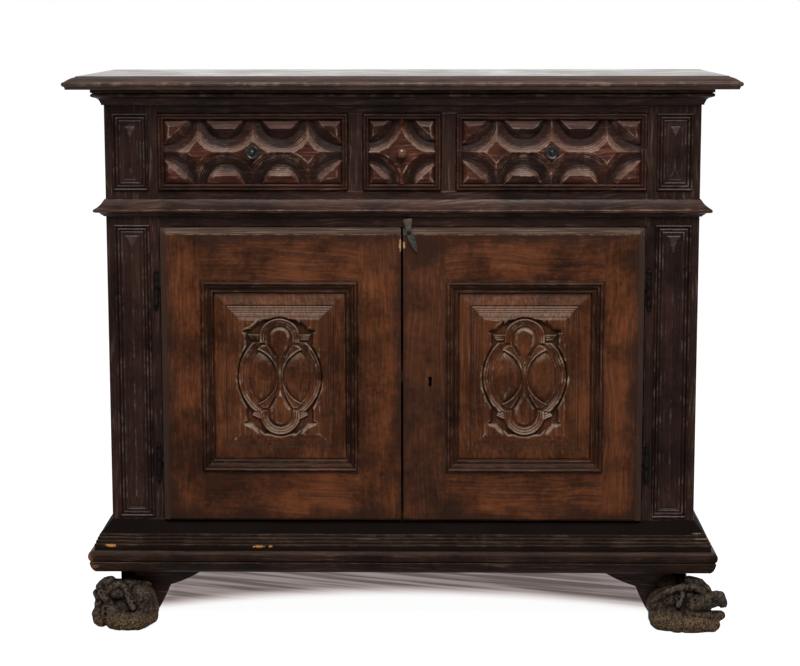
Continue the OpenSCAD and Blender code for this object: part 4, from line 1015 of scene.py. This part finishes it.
def panel_height(half_u, half_v):
    """Sloped and filleted border round interlaced straps, shoulders and pillows."""
    ground, top, nothing = 3.6, 11.0, -50.0
    lobe_z, lobe_r, lobe_w, arc_x, arc_r, arc_w = 74.0, 39.0, 14.6, -11.4, 90.8, 17.6
    drop_x, drop_r, pillow_x, pillow_r = 101.5, 98.0, 60.6, 55.3
    pocket_r, pillow_end_r, throat_r, lip = 40.2, 72.6, 24.4, 3.4
    fillets = ((3.4, 0.8), (7.4, 0.6), (11.2, 0.4), (19.5, 0.25))

    def border(inset):
        """Outer slope, small step and inner slope with its fillets."""
        shape = 1.2 + 0.20 * np.clip(inset + 24.0, 0, 22) \
            - 1.1 * rising(inset, -2.6, -1.2) + 0.8 * rising(inset, -0.4, 0.8) \
            + 0.33 * np.clip(inset, 0, 25)
        for line, deep in fillets:
            shape = grooved(shape, inset, line, 1.8, deep)
        return shape

    def ribs(z, shape, drop_side, pillow_side, arc):
        """Narrow rims of the pillows, which widen into a rib towards the shoulders."""
        share = np.clip(-drop_side / np.clip(pillow_side - drop_side, 0.5, None), 0, 1)
        rim = np.exp(-(np.clip(-drop_side, 0, None) / 1.7) ** 2) \
            + np.exp(-(np.clip(pillow_side, 0, None) / 1.7) ** 2)
        rib = 5.6 + 3.2 * np.clip(rim, 0, 1) + 1.2 * share
        rib = ground + (rib - ground) * rising(-drop_side, -0.8, 0.6) \
            * rising(pillow_side, -0.8, 0.6)
        on_rib = (-drop_side > -0.8) & (pillow_side > -0.8) & (z < 60.0) & (arc > 15.5)
        return np.where(on_rib, np.maximum(rib, np.where(arc < arc_w, shape, nothing)), shape)

    def swell(inward, lip, run, low, rise):
        """Rounded top that rises from just inside its lip."""
        return ground - low + rise * np.sin(np.clip((inward - lip) / run, 0, 1) * math.pi / 2)

    def shoulder(x, z, upper):
        """Stepped block across the strap; also how far inside the block a point lies."""
        turn = np.where(upper, 0.0, 0.42)
        middle_x, middle_z = np.where(upper, 47.0, 41.5), np.where(upper, 76.0, 73.5)
        along = (x - middle_x) * np.cos(turn) - (z - middle_z) * np.sin(turn)
        rise = (x - middle_x) * np.sin(turn) + (z - middle_z) * np.cos(turn)
        long = np.where(upper, 13.0 - 0.45 * np.clip(5.6 - rise, 0, 11), 10.5)
        block = np.minimum(long - np.abs(along), 5.8 - np.abs(rise))
        step = grooved(top - 0.42 * (5.8 - rise), rise, 2.4, 1.5, 1.1)
        step = grooved(step, rise, -1.4, 1.5, 1.0)
        return ground + (step - ground) * rising(block, -0.6, 1.0), block

    def height_of(u, v):
        x, z = np.abs(u), np.abs(v)
        inset = np.minimum(half_u - x, half_v - z)
        pocket = np.minimum(beyond_outline(x, z, POCKET), from_ring(x, z, 0.0, lobe_z) - pocket_r)
        gentle = np.where((x > 40.0) & (z > 86.0), 9.0, 2.2)
        shape = ground + (border(inset) - ground) * rising(pocket, -0.6, gentle)

        arc = arc_r - from_ring(x, z, arc_x, 0.0)
        shape = np.maximum(shape, np.where((z < 65.5) & (x > 22), strap(arc, arc_w, ground, top),
                                           nothing))
        lobe = lobe_r - from_ring(x, z, 0.0, lobe_z)
        shape = np.maximum(shape, np.where(z > 69.0 - 0.10 * x,
                                           strap(lobe, lobe_w, ground, top), nothing))
        drop_side = from_ring(x, z, drop_x, 0.0) - drop_r
        pillow_side = from_ring(x, z, pillow_x, 0.0) - pillow_r
        shape = ribs(z, shape, drop_side, pillow_side, arc)

        oval = np.minimum(-pillow_side, pillow_end_r - from_ring(x, z, arc_x, 0.0))
        pillow = np.where(oval > 1.0, swell(oval, 1.4, 16.0, 1.0, 5.4), ground - 1.2)
        shape = np.where(oval > 0.8, pillow, shape)
        throat = np.minimum(throat_r - from_ring(x, z, 0.0, np.clip(z, 0, lobe_z)),
                            np.where(z > 64.0, 40.0, drop_side))
        drop = np.where(throat < lip, ground - 1.6, swell(throat, lip, 7.0, 1.6, 4.4))
        shape = np.where(throat > 0, drop, shape)
        knot = ground + 5.2 * np.exp(-(x / 6.5) ** 2 - (z / 19.0) ** 2)
        shape = np.where((x < 12.0) & (z < 40.0), np.maximum(shape, knot), shape)
        block_top, block = shoulder(x, z, v > 0)
        shape = np.where(block > -0.5, np.maximum(shape, block_top), shape)

        outside = rising(pocket, 1.0, 4.0)
        # Painted shade where the panel runs under its moulding, in the fillets and behind the moulding
        painted_shade = 0.95 * np.exp(-((inset + 1.9) / 1.3) ** 2)
        for line, _ in fillets:
            painted_shade = np.maximum(painted_shade, 0.42 * outside * np.exp(-((inset - line) / 0.9) ** 2))
        painted_shade = np.maximum(painted_shade, 0.22 * rising(-inset, 20.0, 24.0))
        beyond = np.maximum(x - 124.0, z - 159.0)
        return shape - 3.0 * rising(beyond, 0.0, 2.0), painted_shade

    return height_of


def pilaster_height(half_u, half_v, hip, end):
    """Beaded frame, thin inner frames and a ridge with hollow flanks and a small flat end."""
    def height_of(u, v):
        inset = np.minimum(half_u - np.abs(u), half_v - np.abs(v))
        shape = 1.0 + 4.8 * rising(inset, -0.2, 2.2) - 4.6 * rising(inset, 3.6, 5.2)
        shape = shape + 3.0 * rising(inset, 6.0, 8.2) - 3.4 * rising(inset, 9.6, 11.6)
        shape = shape + 1.5 * rising(inset, 12.6, 14.0) - 1.3 * rising(inset, 15.4, 16.6)
        base = half_u - hip
        shape = grooved(shape, inset, base - 1.2, 2.2, 0.9)
        side = np.clip((hip - np.abs(u)) / hip, 0, 1) ** 1.35
        roof = np.minimum(side, (half_v - np.abs(v) - base) / end)
        return np.where(roof > 0, 1.1 + 4.7 * roof, shape), 0.0

    return height_of


# Half the body's width and the place of its front, in millimetres

CAD_FRONT_HALF = 560.0
CAD_FRONT = -176.0

# Plinth, in millimetres out from the body and up from the floor

PLINTH_PROFILE = [
    (0, 114), (30.1, 114), (33, 116.4), (36.2, 120.5), (38.6, 126), (40.2, 132), (40.4, 134.4),
    (38.4, 135.6), (38.4, 136.6), (40.6, 138.6), (42.2, 141.6), (42.9, 145.6), (42.6, 149.6),
    (41.0, 153.2), (38.2, 155.8), (35.2, 156.6), (31.2, 156.8), (31.0, 165.2), (31.6, 165.8),
    (31.6, 168.4), (29.6, 169.4), (28.4, 170.6), (29.2, 171.6), (29.0, 174.6), (26.6, 175.6),
    (25.4, 176.8), (26.2, 177.8), (25.9, 180.8), (23.6, 181.8), (22.4, 183.0), (23.0, 184.0),
    (22.6, 186.8), (19.8, 187.8), (17.2, 191.4), (13.0, 196.2), (8.4, 201.6), (4.4, 207.2),
    (1.0, 211.5), (0, 211.5)]

# Moulding round a door panel, in millimetres in from the opening and out from the panel

DOOR_PROFILE = [
    (0, 0), (0, 10.4), (0.6, 11.2), (1.7, 11.2), (2.1, 10.2), (2.5, 12.4), (3.3, 14.3),
    (4.5, 15.6), (5.9, 15.9), (7.4, 15.1), (8.6, 13.4), (9.3, 11.2), (9.6, 9.9), (10.0, 11.0),
    (10.5, 11.4), (11.9, 11.2), (12.3, 9.8), (12.9, 9.8), (14.2, 7.9), (15.8, 6.4),
    (17.4, 5.6), (17.8, 6.8), (19.1, 6.7), (19.5, 5.0), (20.0, 6.6), (20.9, 7.9), (22.0, 7.8),
    (23.0, 6.6), (23.6, 4.8), (24, 4.0), (24, 0)]

# Lion's paws, in millimetres: limbs as rows of balls, each (x, y, z, radius), and dents

LEFT_PAW = (
    ((-548, -176, 34, 34), (-508, -172, 34, 34)),
    ((-532, -176, 60, 30), (-508, -182, 60, 29)),
    ((-506, -188, 60, 28), (-502, -186, 40, 29)),
    ((-520, -150, 66, 34), (-518, -136, 76, 27)),
    ((-572, -184, 72, 19), (-566, -182, 48, 24)),
    ((-571, -206, 70, 6), (-561, -210, 84, 6), (-545, -212, 91, 6), (-533, -213, 85, 6),
     (-528, -216, 70, 6), (-518, -219, 46, 6)),
    ((-553, -204, 72, 12), (-540, -205, 72, 11)),
    ((-533, -186, 86, 8), (-494, -184, 80, 9)),
    ((-586, -194, 80, 8), (-580, -192, 87, 8)),
    ((-574, -192, 90, 9), (-563, -190, 94, 8)),
    ((-564, -186, 82, 14), (-548, -184, 80, 14)),
    ((-582, -186, 58, 12), (-578, -184, 34, 17)),
    ((-592, -190, 68, 8), (-589, -196, 60, 7)),
    ((-580, -203, 70, 8), (-573, -209, 62, 8)),
    ((-588, -196, 48, 9), (-586, -194, 40, 10)),
    ((-586, -198, 28, 16), (-582, -200, 20, 18)),
    ((-564, -206, 34, 20), (-556, -210, 20, 20)),
    ((-548, -214, 18, 19), (-510, -212, 18, 19)),
    ((-508, -206, 20, 21), (-492, -190, 24, 20)),
)
LEFT_DENTS = ((-574, -226, 22, 6), (-573, -226, 34, 7), (-574, -222, 46, 7), (-546, -220, 62, 5),
              (-538, -220, 66, 6), (-556, -220, 66, 5), (-520, -222, 66, 6), (-514, -220, 56, 5),
              (-582, -210, 74, 5), (-572, -210, 80, 5), (-590, -204, 55, 6), (-580, -214, 57, 5),
              (-586, -204, 90, 4), (-566, -206, 90, 4), (-596, -200, 74, 4), (-564, -216, 60, 5),
              (-540, -236, 36, 6), (-528, -236, 28, 5), (-588, -214, 40, 5), (-504, -160, 92, 8))
RIGHT_PAW = (
    ((506, -174, 24, 31), (560, -188, 20, 27)),
    ((504, -172, 46, 32), (540, -178, 44, 31)),
    ((499, -176, 52, 24), (520, -186, 62, 24), (548, -188, 64, 22)),
    ((520, -150, 70, 34), (530, -132, 82, 26)),
    ((486, -190, 56, 7), (506, -202, 75, 7), (534, -208, 87, 7), (560, -208, 88, 7),
     (577, -206, 80, 7)),
    ((538, -210, 76, 5), (530, -214, 54, 6)),
    ((552, -186, 96, 9), (566, -188, 94, 9)),
    ((556, -190, 82, 13), (574, -192, 80, 11)),
    ((573, -190, 93, 8), (578, -190, 88, 8)),
    ((585, -194, 84, 7), (588, -196, 80, 7)),
    ((560, -204, 54, 17), (585, -210, 61, 17), (606, -208, 67, 15)),
    ((612, -208, 62, 11), (616, -208, 55, 9)),
    ((556, -202, 36, 18), (584, -206, 32, 14)),
    ((584, -206, 26, 14), (612, -200, 30, 10)),
    ((548, -214, 18, 20), (596, -210, 15, 15)),
    ((500, -194, 22, 24), (528, -210, 20, 22)),
)
RIGHT_DENTS = ((604, -222, 42, 10), (590, -228, 40, 8), (616, -214, 43, 8), (576, -232, 42, 5),
               (556, -224, 72, 11), (547, -222, 68, 6), (566, -222, 78, 8), (530, -214, 66, 5),
               (598, -228, 76, 4), (606, -226, 78, 4), (602, -230, 66, 4), (612, -224, 72, 4),
               (518, -214, 70, 5), (508, -210, 60, 5), (580, -206, 92, 5), (568, -204, 98, 4))


def bow(a, b, sag, count=6):
    """Points of a shallow curve from a to b; sag is its offset to the left of that way."""
    way = Vector(b) - Vector(a)
    side = Vector((-way.y, way.x)).normalized()
    return [Vector(a) + way * t + side * 4 * sag * t * (1 - t)
            for t in (i / count for i in range(count + 1))]


def bracket_outline(length, drop, height):
    """Flat top edge and a long ogee down to the paw."""
    knee = Vector((0.61 * length, 0.68 * height))
    return ([Vector((0, drop)), Vector((0, height)), Vector((length, height)),
             Vector((length, height - 8))]
            + bow((length - 2, height - 9), knee, 2.5) + bow(knee + Vector((-2, -2)),
                                                            (0.41 * length, drop - 6), 2.0))


def prism(bm, points, along):
    """Flat outline in 3D, drawn out by the vector along."""
    face = bm.faces.new([bm.verts.new(p) for p in points])
    pulled = bmesh.ops.extrude_face_region(bm, geom=[face])
    moved = [item for item in pulled["geom"] if isinstance(item, bmesh.types.BMVert)]
    bmesh.ops.translate(bm, verts=moved, vec=along)
    bmesh.ops.recalc_face_normals(bm, faces=bm.faces)


def lumps(bm, limbs):
    """Rows of balls that a remesh fuses into limbs, each given by its (x, y, z, radius)."""
    for limb in limbs:
        for first, last in zip(limb, limb[1:]):
            way = Vector(last[:3]) - Vector(first[:3])
            count = max(2, int(way.length / (0.35 * min(first[3], last[3]))) + 1)
            for i in range(count + 1):
                t = i / count
                place = (Vector(first[:3]) + way * t) * MM
                size = (first[3] + (last[3] - first[3]) * t) * MM
                bmesh.ops.create_icosphere(bm, subdivisions=3, radius=size,
                                           matrix=Matrix.Translation(place))


def remeshed(made, voxel):
    """Replaces an object's mesh by one even skin."""
    step = made.modifiers.new("Skin", "REMESH")
    step.mode = "VOXEL"
    step.voxel_size = voxel
    graph = bpy.context.evaluated_depsgraph_get()
    skin = bpy.data.meshes.new_from_object(made.evaluated_get(graph))
    made.modifiers.clear()
    made.data = skin


def pressed_in(place, dents):
    """How deep, in millimetres, the dents press a place in."""
    amount = 0.0
    for x, y, z, size in dents:
        reach = (place / MM - Vector((x, y, z))).length
        if reach < size:
            amount += (size - reach) * 0.85
    return amount


def decay(place, rough_above):
    """Lumps, cracks and wrinkles of the old wood, in millimetres, roughest near the floor."""
    lump = noise.fractal(place * 62.0, 0.9, 2.1, 4)
    crack = noise.noise(Vector((place.x * 150, place.y * 60, place.z * 90)))
    wrinkle = noise.noise(Vector((place.x * 260, place.y * 110, place.z * 170)))
    low_down = 1.0 - min(1.0, place.z / rough_above)
    crumbled = max(0.0, noise.fractal(place * 110.0, 0.8, 2.2, 3) + 0.15)
    return 1.00 * lump + 0.60 * crack + 0.22 * wrinkle - low_down * 1.6 * crumbled


def sculpted(made, dents, box_low, box_high, rough_above):
    """Presses hollows, folds and decay into the skin; marks worn points, and darkens its hollows and
    dents as painted shade and dirt.
    """
    bm = bmesh.new()
    bm.from_mesh(made.data)
    for _ in range(4):
        bmesh.ops.smooth_vert(bm, verts=bm.verts, factor=0.5, use_axis_x=True,
                              use_axis_y=True, use_axis_z=True)
    bm.normal_update()
    depth = [pressed_in(vert.co, dents) for vert in bm.verts]
    moves = [decay(vert.co, rough_above) - deep for vert, deep in zip(bm.verts, depth)]
    for vert, move in zip(bm.verts, moves):
        vert.co += vert.normal * move * MM
        vert.co = Vector([min(max(vert.co[i], box_low[i]), box_high[i]) for i in range(3)])
    bm.normal_update()
    worn, shade_and_dirt = [], []
    for vert, deep in zip(bm.verts, depth):
        ring = [edge.other_vert(vert).co for edge in vert.link_edges]
        middle = sum(ring, Vector()) / len(ring)
        bend = (vert.co - middle).dot(vert.normal) / MM
        worn.append(min(1.0, max(0.0, bend * 8.0 - 0.3)))
        shade_and_dirt.append(min(1.0, max(0.0, -bend * 8.0 - 0.1) + deep * 0.22))
    bm.to_mesh(made.data)
    bm.free()
    point_layer(made, "worn", np.array(worn, np.float32))
    point_layer(made, "shade_and_dirt", np.array(shade_and_dirt, np.float32))
    made.data.shade_smooth()


def paw(name, node, side, limbs, dents):
    """Carved paw under its two ogee brackets."""
    low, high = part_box(node)
    spare, margin, skin_step, rough_above = 0.036, 0.0005, 0.0018, 0.045
    bm = bmesh.new()
    lumps(bm, limbs)
    skin = as_object(bm, name + "_lumps", [])
    remeshed(skin, skin_step)
    box_low = Vector((max(low.x - spare, CAD_BOX[0][0] + margin), low.y, 0.0))
    box_high = Vector((min(high.x + spare, CAD_BOX[1][0] - margin), high.y, high.z))
    sculpted(skin, dents, box_low, box_high, rough_above)
    skin.data.materials.clear()
    skin.data.materials.append(bark_of_paw())
    skin.name = name
    seat(skin, "paw_walnut", node)

    corner_x, corner_y, thick = 548.0, -164.0, 28.0
    outline = bracket_outline(length=160.0, drop=24.0, height=114.0)
    bm = bmesh.new()
    prism(bm, [Vector((side * (corner_x - p.x), corner_y, p.y)) * MM for p in outline],
          Vector((0, thick, 0)) * MM)
    prism(bm, [Vector((side * (corner_x - thick), corner_y + p.x, p.y)) * MM for p in outline],
          Vector((side * thick, 0, 0)) * MM)
    round_edges(bm, sizes().board_edge)
    boards = as_object(bm, name + "_brackets", [walnut("dark_walnut", "X")])
    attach(boards, BODY_OF[node])


def seen_directly(tree, elsewhere):
    """Mask of the rays that show the backdrop; elsewhere is its share for shiny surfaces."""
    path = add(tree, "ShaderNodeLightPath").outputs
    shiny = larger(tree, path["Is Glossy Ray"], path["Is Transmission Ray"])
    return larger(tree, path["Is Camera Ray"], times(tree, shiny, elsewhere))


def studio_floor():
    """Pale floor that fades to white away from the credenza and keeps its shadow; under and behind it,
    a painted shadow darkens, tints and streaks it.
    """
    made, tree = blank_material("pale_floor", colours().floor)
    coords = object_place(tree)
    parts = axes_of(tree, coords)
    across = maths(tree, "ABSOLUTE", parts["X"])
    # Painted shadow: under and behind the credenza the floor is darkened, tinted and streaked
    bent = plus(tree, parts["Y"], times(tree, times(tree, across, across), 0.45))
    deep_shadow = times(tree, stepped(tree, bent, 0.025, 0.125), stepped(tree, parts["Y"], 0.34, 0.26))
    under = times(tree, stepped(tree, across, 0.57, 0.47), deep_shadow)
    skewed = add(tree, "ShaderNodeMapping",
                 {"Vector": coords, "Rotation": (0.0, 0.0, -0.34), "Scale": (0.55, 0.030, 1.0)},
                 vector_type="TEXTURE").outputs["Vector"]
    streaks = stepped(tree, speckle(tree, skewed, 1.0, 3.0), 0.36, 0.62)
    under = times(tree, under, stepped(tree, streaks, 0.0, 1.0, 0.80, 1.0))
    pale, shadow_brown = rgba(colours().floor), (0.190, 0.150, 0.145, 1.0)
    white, shadow_rosy = (1.0, 1.0, 1.0, 1.0), (1.0, 0.80, 0.77, 1.0)
    shade = add(tree, "ShaderNodeBsdfDiffuse", {"Color": blended(tree, under, pale, shadow_brown)})
    lift = add(tree, "ShaderNodeEmission",
               {"Color": blended(tree, under, white, shadow_rosy),
                "Strength": minus(tree, 0.95, times(tree, under, 0.84), True)})
    lifted = add(tree, "ShaderNodeAddShader", {0: shade.outputs[0], 1: lift.outputs[0]})
    shown = add(tree, "ShaderNodeMixShader",
                {0: seen_directly(tree, stepped(tree, parts["Y"], -0.6, 0.3)),
                 1: shade.outputs[0], 2: lifted.outputs[0]})
    add(tree, "ShaderNodeOutputMaterial", {"Surface": shown.outputs[0]})
    return made


def studio_world():
    """White to the camera and, for shiny surfaces, behind; soft light from above."""
    world = bpy.data.worlds.new("studio")
    world.use_nodes = True
    tree = world.node_tree
    tree.nodes.clear()
    parts = axes_of(tree, add(tree, "ShaderNodeTexCoord").outputs["Generated"])
    above = stepped(tree, parts["Z"], 0.0, 0.9, 0.04, 0.26)
    behind = stepped(tree, parts["Y"], 0.30, 0.90)
    level = larger(tree, above, times(tree, behind, 0.45))
    level = add(tree, "ShaderNodeMix", {0: seen_directly(tree, behind), 2: level, 3: 1.0},
                data_type="FLOAT").outputs[0]
    glow = add(tree, "ShaderNodeBackground", {"Color": (1, 1, 1, 1), "Strength": level})
    add(tree, "ShaderNodeOutputWorld", {"Surface": glow.outputs[0]})
    return world


def studio_camera():
    """Camera of the studio photo, fitted to the straight edges seen in it."""
    eye = bpy.data.cameras.new("camera")
    eye.sensor_width = 36.0
    eye.lens = 94.93
    viewer = bpy.data.objects.new("camera", eye)
    yaw, pitch, roll = (math.radians(a) for a in (1.103, 90.0 - 8.667, -0.0722))
    viewer.matrix_world = (Matrix.Translation((0.0722, -4.1432, 1.180))
                           @ Matrix.Rotation(yaw, 4, "Z") @ Matrix.Rotation(pitch, 4, "X")
                           @ Matrix.Rotation(roll, 4, "Z"))
    return viewer


# Operators, one for each piece or group of like pieces

class CREDENZA_OT_stage(bpy.types.Operator):
    """Pale floor, soft studio light and the camera"""
    bl_idname = "credenza.stage"
    bl_label = "Stage"

    def execute(self, context):
        scene = context.scene
        bm = bmesh.new()
        bmesh.ops.create_grid(bm, x_segments=2, y_segments=2, size=30.0)
        as_object(bm, "floor", [studio_floor()])
        scene.world = studio_world()
        for label, place, aim, size, power in (
                ("top_softbox", (0.15, -2.35, 2.95), (0.0, 0.0, 0.6), 1.7, 112.0),
                ("left_softbox", (-2.7, -2.3, 1.5), (0.0, 0.0, 0.5), 1.6, 7.0),
                ("right_softbox", (2.8, -2.0, 1.7), (0.0, 0.0, 0.5), 1.6, 7.0)):
            lamp = bpy.data.lights.new(label, "AREA")
            lamp.shape = "SQUARE"
            lamp.size = size
            lamp.energy = power
            held = bpy.data.objects.new(label, lamp)
            held.location = place
            held.rotation_euler = (Vector(aim) - Vector(place)).to_track_quat("-Z", "Y").to_euler()
            scene.collection.objects.link(held)
        scene.camera = studio_camera()
        scene.collection.objects.link(scene.camera)
        scene.view_settings.view_transform = "Standard"
        return {"FINISHED"}


class CREDENZA_OT_top_board(bpy.types.Operator):
    """Top board with its worn nose"""
    bl_idname = "credenza.top_board"
    bl_label = "Top board"

    def execute(self, context):
        bm = merged("top_board")
        round_edges(bm, sizes().moulding_edge, 18.0)
        slice_up(bm, 0, 0.02)
        let_waver(bm, sizes().waver * 0.4, 0.2, 3.0)
        seat(as_object(bm, "top_board_worn", [walnut("top_walnut", "X"), walnut("nose_walnut", "X")],
                       lambda face: 0 if face.normal.z > 0.97 else 1, 22.0),
             "walnut_dark", "top_board")
        return {"FINISHED"}


class CREDENZA_OT_mouldings(bpy.types.Operator):
    """Cornice, waist moulding and plinth, each a front and two returns"""
    bl_idname = "credenza.mouldings"
    bl_label = "Mouldings"

    def execute(self, context):
        for number, family in enumerate(("cornice", "waist_moulding", "plinth")):
            for place, part in enumerate(("front", "left", "right")):
                node = family + "_" + part
                axis = 0 if part == "front" else 1
                seed = 7.0 * number + 2.0 * place
                if family == "plinth":
                    mitred(node + "_planed", walnut("plinth_walnut", "XY"[axis]), part, node,
                           PLINTH_PROFILE, seed)
                else:
                    moulding(node + "_planed", "walnut_dark",
                             walnut("lightened_moulded_walnut", "XY"[axis]), axis, node, seed)
        return {"FINISHED"}


class CREDENZA_OT_carcass(bpy.types.Operator):
    """Posts, rails and panels of the body"""
    bl_idname = "credenza.carcass"
    bl_label = "Carcass"

    def execute(self, context):
        for along, nodes in (("Z", ("post_front_left", "post_front_right")),
                             ("X", ("frieze_rail", "waist_rail", "door_sill_rail")),
                             ("Z", ("drawer_dividers",)),
                             ("Y", ("side_rails_left", "side_rails_right", "side_panels_left",
                                    "side_panels_right"))):
            for node in nodes:
                board(node + "_waxed", "walnut_dark", [walnut("dark_walnut", along)], node)
        board("back_feet_blocks", "paw_walnut", [walnut("dark_walnut", "Z")], "back_feet",
              edge=0.002)
        return {"FINISHED"}


class CREDENZA_OT_pilasters(bpy.types.Operator):
    """Moulded panels on the front posts"""
    bl_idname = "credenza.pilasters"
    bl_label = "Pilaster panels"

    def execute(self, context):
        seed = 40
        for level, hip, end in (("upper", 9.5, 20.0), ("lower", 13.0, 24.0)):
            for side in ("left", "right"):
                node = "pilaster_panel_" + level + "_" + side
                box, half = face_of(node)
                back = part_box(node)[1].y
                carved(node + "_moulded", "walnut_dark", walnut("pilaster_walnut", "Z"), node,
                       box, back, back, pilaster_height(*half, hip, end), seed)
                seed += 1
        return {"FINISHED"}


class CREDENZA_OT_drawers(bpy.types.Operator):
    """Carved drawer fronts, their boxes and knobs"""
    bl_idname = "credenza.drawers"
    bl_label = "Drawers"

    def execute(self, context):
        wide = (-52.5, 52.5)
        for number, (side, columns) in enumerate((("left", wide), ("center", ()),
                                                  ("right", wide))):
            node = side + "_drawer_front"
            low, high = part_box(node)
            box, half = face_of(node)
            # Hollows and the parts deeper than 6 mm are darkened as painted shade; the rim is darkened
            # too
            carved(node + "_carved", "walnut_red", walnut("red_walnut", "X"), node, box, low.y,
                   high.y, drawer_height(*half, columns), 60 + number, smooth=0.35, hollow_shade_and_dirt=0.26,
                   calm=10.0, rim=0.58, shade_below=-6.0)
            board(side + "_drawer_boards", "plain_wood", [inside_wood("Y")],
                  side + "_drawer_box", edge=0.0006)
        dressed("left_drawer_knob", knob_iron())
        dressed("right_drawer_knob", knob_iron())
        dressed("center_drawer_knob", walnut("knob_walnut", "Y"))
        return {"FINISHED"}


class CREDENZA_OT_doors(bpy.types.Operator):
    """Door frames, the mouldings round their panels and the carved panels"""
    bl_idname = "credenza.doors"
    bl_label = "Doors"

    def execute(self, context):
        for number, side in enumerate(("left", "right")):
            for part, along in (("hinge_stile", "Z"), ("meeting_stile", "Z"), ("rails", "X")):
                node = side + "_door_" + part
                board(node + "_waxed", "walnut_door",
                      [walnut("door_walnut", along), walnut("door_walnut", "X")],
                      node, pick=lambda face: 1 if abs(face.normal.z) > 0.3 else 0)
            node = side + "_door_moulding"
            low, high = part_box(node)

            def upright(face, middle=(low + high) / 2, half=(high - low) / 2):
                place = face.calc_center_median() - middle
                return 1 if abs(place.x) - half.x > abs(place.z) - half.z else 0
            framed(node + "_planed", "walnut_dark",
                   [walnut("moulding_walnut", "X"), walnut("moulding_walnut", "Z")],
                   node, DOOR_PROFILE, upright, 30.0 + number)
            lip = 23.0 * MM
            box = ((low.x + lip, high.x - lip), (low.z + lip, high.z - lip))
            node = side + "_door_panel"
            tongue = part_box(node)
            back = tongue[1].y
            carved(node + "_carved", "walnut_door", walnut("panel_walnut", "Z"), node, box,
                   back - 8.0 * MM, back, panel_height(100.25, 135.05), 80 + number,
                   crease=0.62, calm=40.0, tongue=tongue)
        return {"FINISHED"}


class CREDENZA_OT_metalwork(bpy.types.Operator):
    """Hinges, lock and turn latch"""
    bl_idname = "credenza.metalwork"
    bl_label = "Metalwork"

    def execute(self, context):
        for node in ("hinge_hooks", "left_door_hinge_knuckles", "right_door_hinge_knuckles",
                     "lock_case", "lock_bolt", "turn_button_screw"):
            dressed(node, old_iron())
        bm = merged("turn_button")
        round_edges(bm, 0.0009, 40.0)
        seat(as_object(bm, "turn_button_blade", [dull_bronze()], smooth_angle=40.0), "bronze",
             "turn_button")
        return {"FINISHED"}


class CREDENZA_OT_inside(bpy.types.Operator):
    """Plain boards inside and behind"""
    bl_idname = "credenza.inside"
    bl_label = "Inside boards"

    def execute(self, context):
        for node, along in (("back_posts", "Z"), ("back_boards", "X"), ("floor_board", "X"),
                            ("shelf", "X"), ("shelf_cleats", "Y"), ("dust_board", "X"),
                            ("drawer_guides", "Y")):
            board(node + "_sawn", "plain_wood", [inside_wood(along)], node, edge=0.0007)
        return {"FINISHED"}


class CREDENZA_OT_paws(bpy.types.Operator):
    """Lion-paw front feet with their brackets"""
    bl_idname = "credenza.paws"
    bl_label = "Paw feet"

    def execute(self, context):
        paw("left_paw", "paw_foot_left", -1, LEFT_PAW, LEFT_DENTS)
        paw("right_paw", "paw_foot_right", 1, RIGHT_PAW, RIGHT_DENTS)
        return {"FINISHED"}


class CREDENZA_PT_sidebar(bpy.types.Panel):
    """Sizes, colours and pieces of the credenza"""
    bl_idname = "CREDENZA_PT_sidebar"
    bl_label = "Credenza"
    bl_space_type = "VIEW_3D"
    bl_region_type = "UI"
    bl_category = "Credenza"

    def draw(self, context):
        for group in (context.scene.credenza_sizes, context.scene.credenza_colours):
            column = self.layout.column(align=True)
            for key in group.__annotations__:
                column.prop(group, key)
        column = self.layout.column()
        for operator in OPERATORS:
            column.operator(operator.bl_idname)


OPERATORS = (CREDENZA_OT_stage, CREDENZA_OT_top_board, CREDENZA_OT_mouldings,
             CREDENZA_OT_carcass, CREDENZA_OT_pilasters, CREDENZA_OT_drawers,
             CREDENZA_OT_doors, CREDENZA_OT_metalwork, CREDENZA_OT_inside, CREDENZA_OT_paws)
CLASSES = (CredenzaSizes, CredenzaColours) + OPERATORS + (CREDENZA_PT_sidebar,)


def register():
    for kind in CLASSES:
        bpy.utils.register_class(kind)
    bpy.types.Scene.credenza_sizes = bpy.props.PointerProperty(type=CredenzaSizes)
    bpy.types.Scene.credenza_colours = bpy.props.PointerProperty(type=CredenzaColours)


def unregister():
    del bpy.types.Scene.credenza_colours
    del bpy.types.Scene.credenza_sizes
    for kind in reversed(CLASSES):
        bpy.utils.unregister_class(kind)


def main():
    register()
    bpy.ops.credenza.stage()
    bpy.ops.credenza.top_board()
    bpy.ops.credenza.mouldings()
    bpy.ops.credenza.carcass()
    bpy.ops.credenza.pilasters()
    bpy.ops.credenza.drawers()
    bpy.ops.credenza.doors()
    bpy.ops.credenza.metalwork()
    bpy.ops.credenza.inside()
    bpy.ops.credenza.paws()


if __name__ == "__main__":
    main()
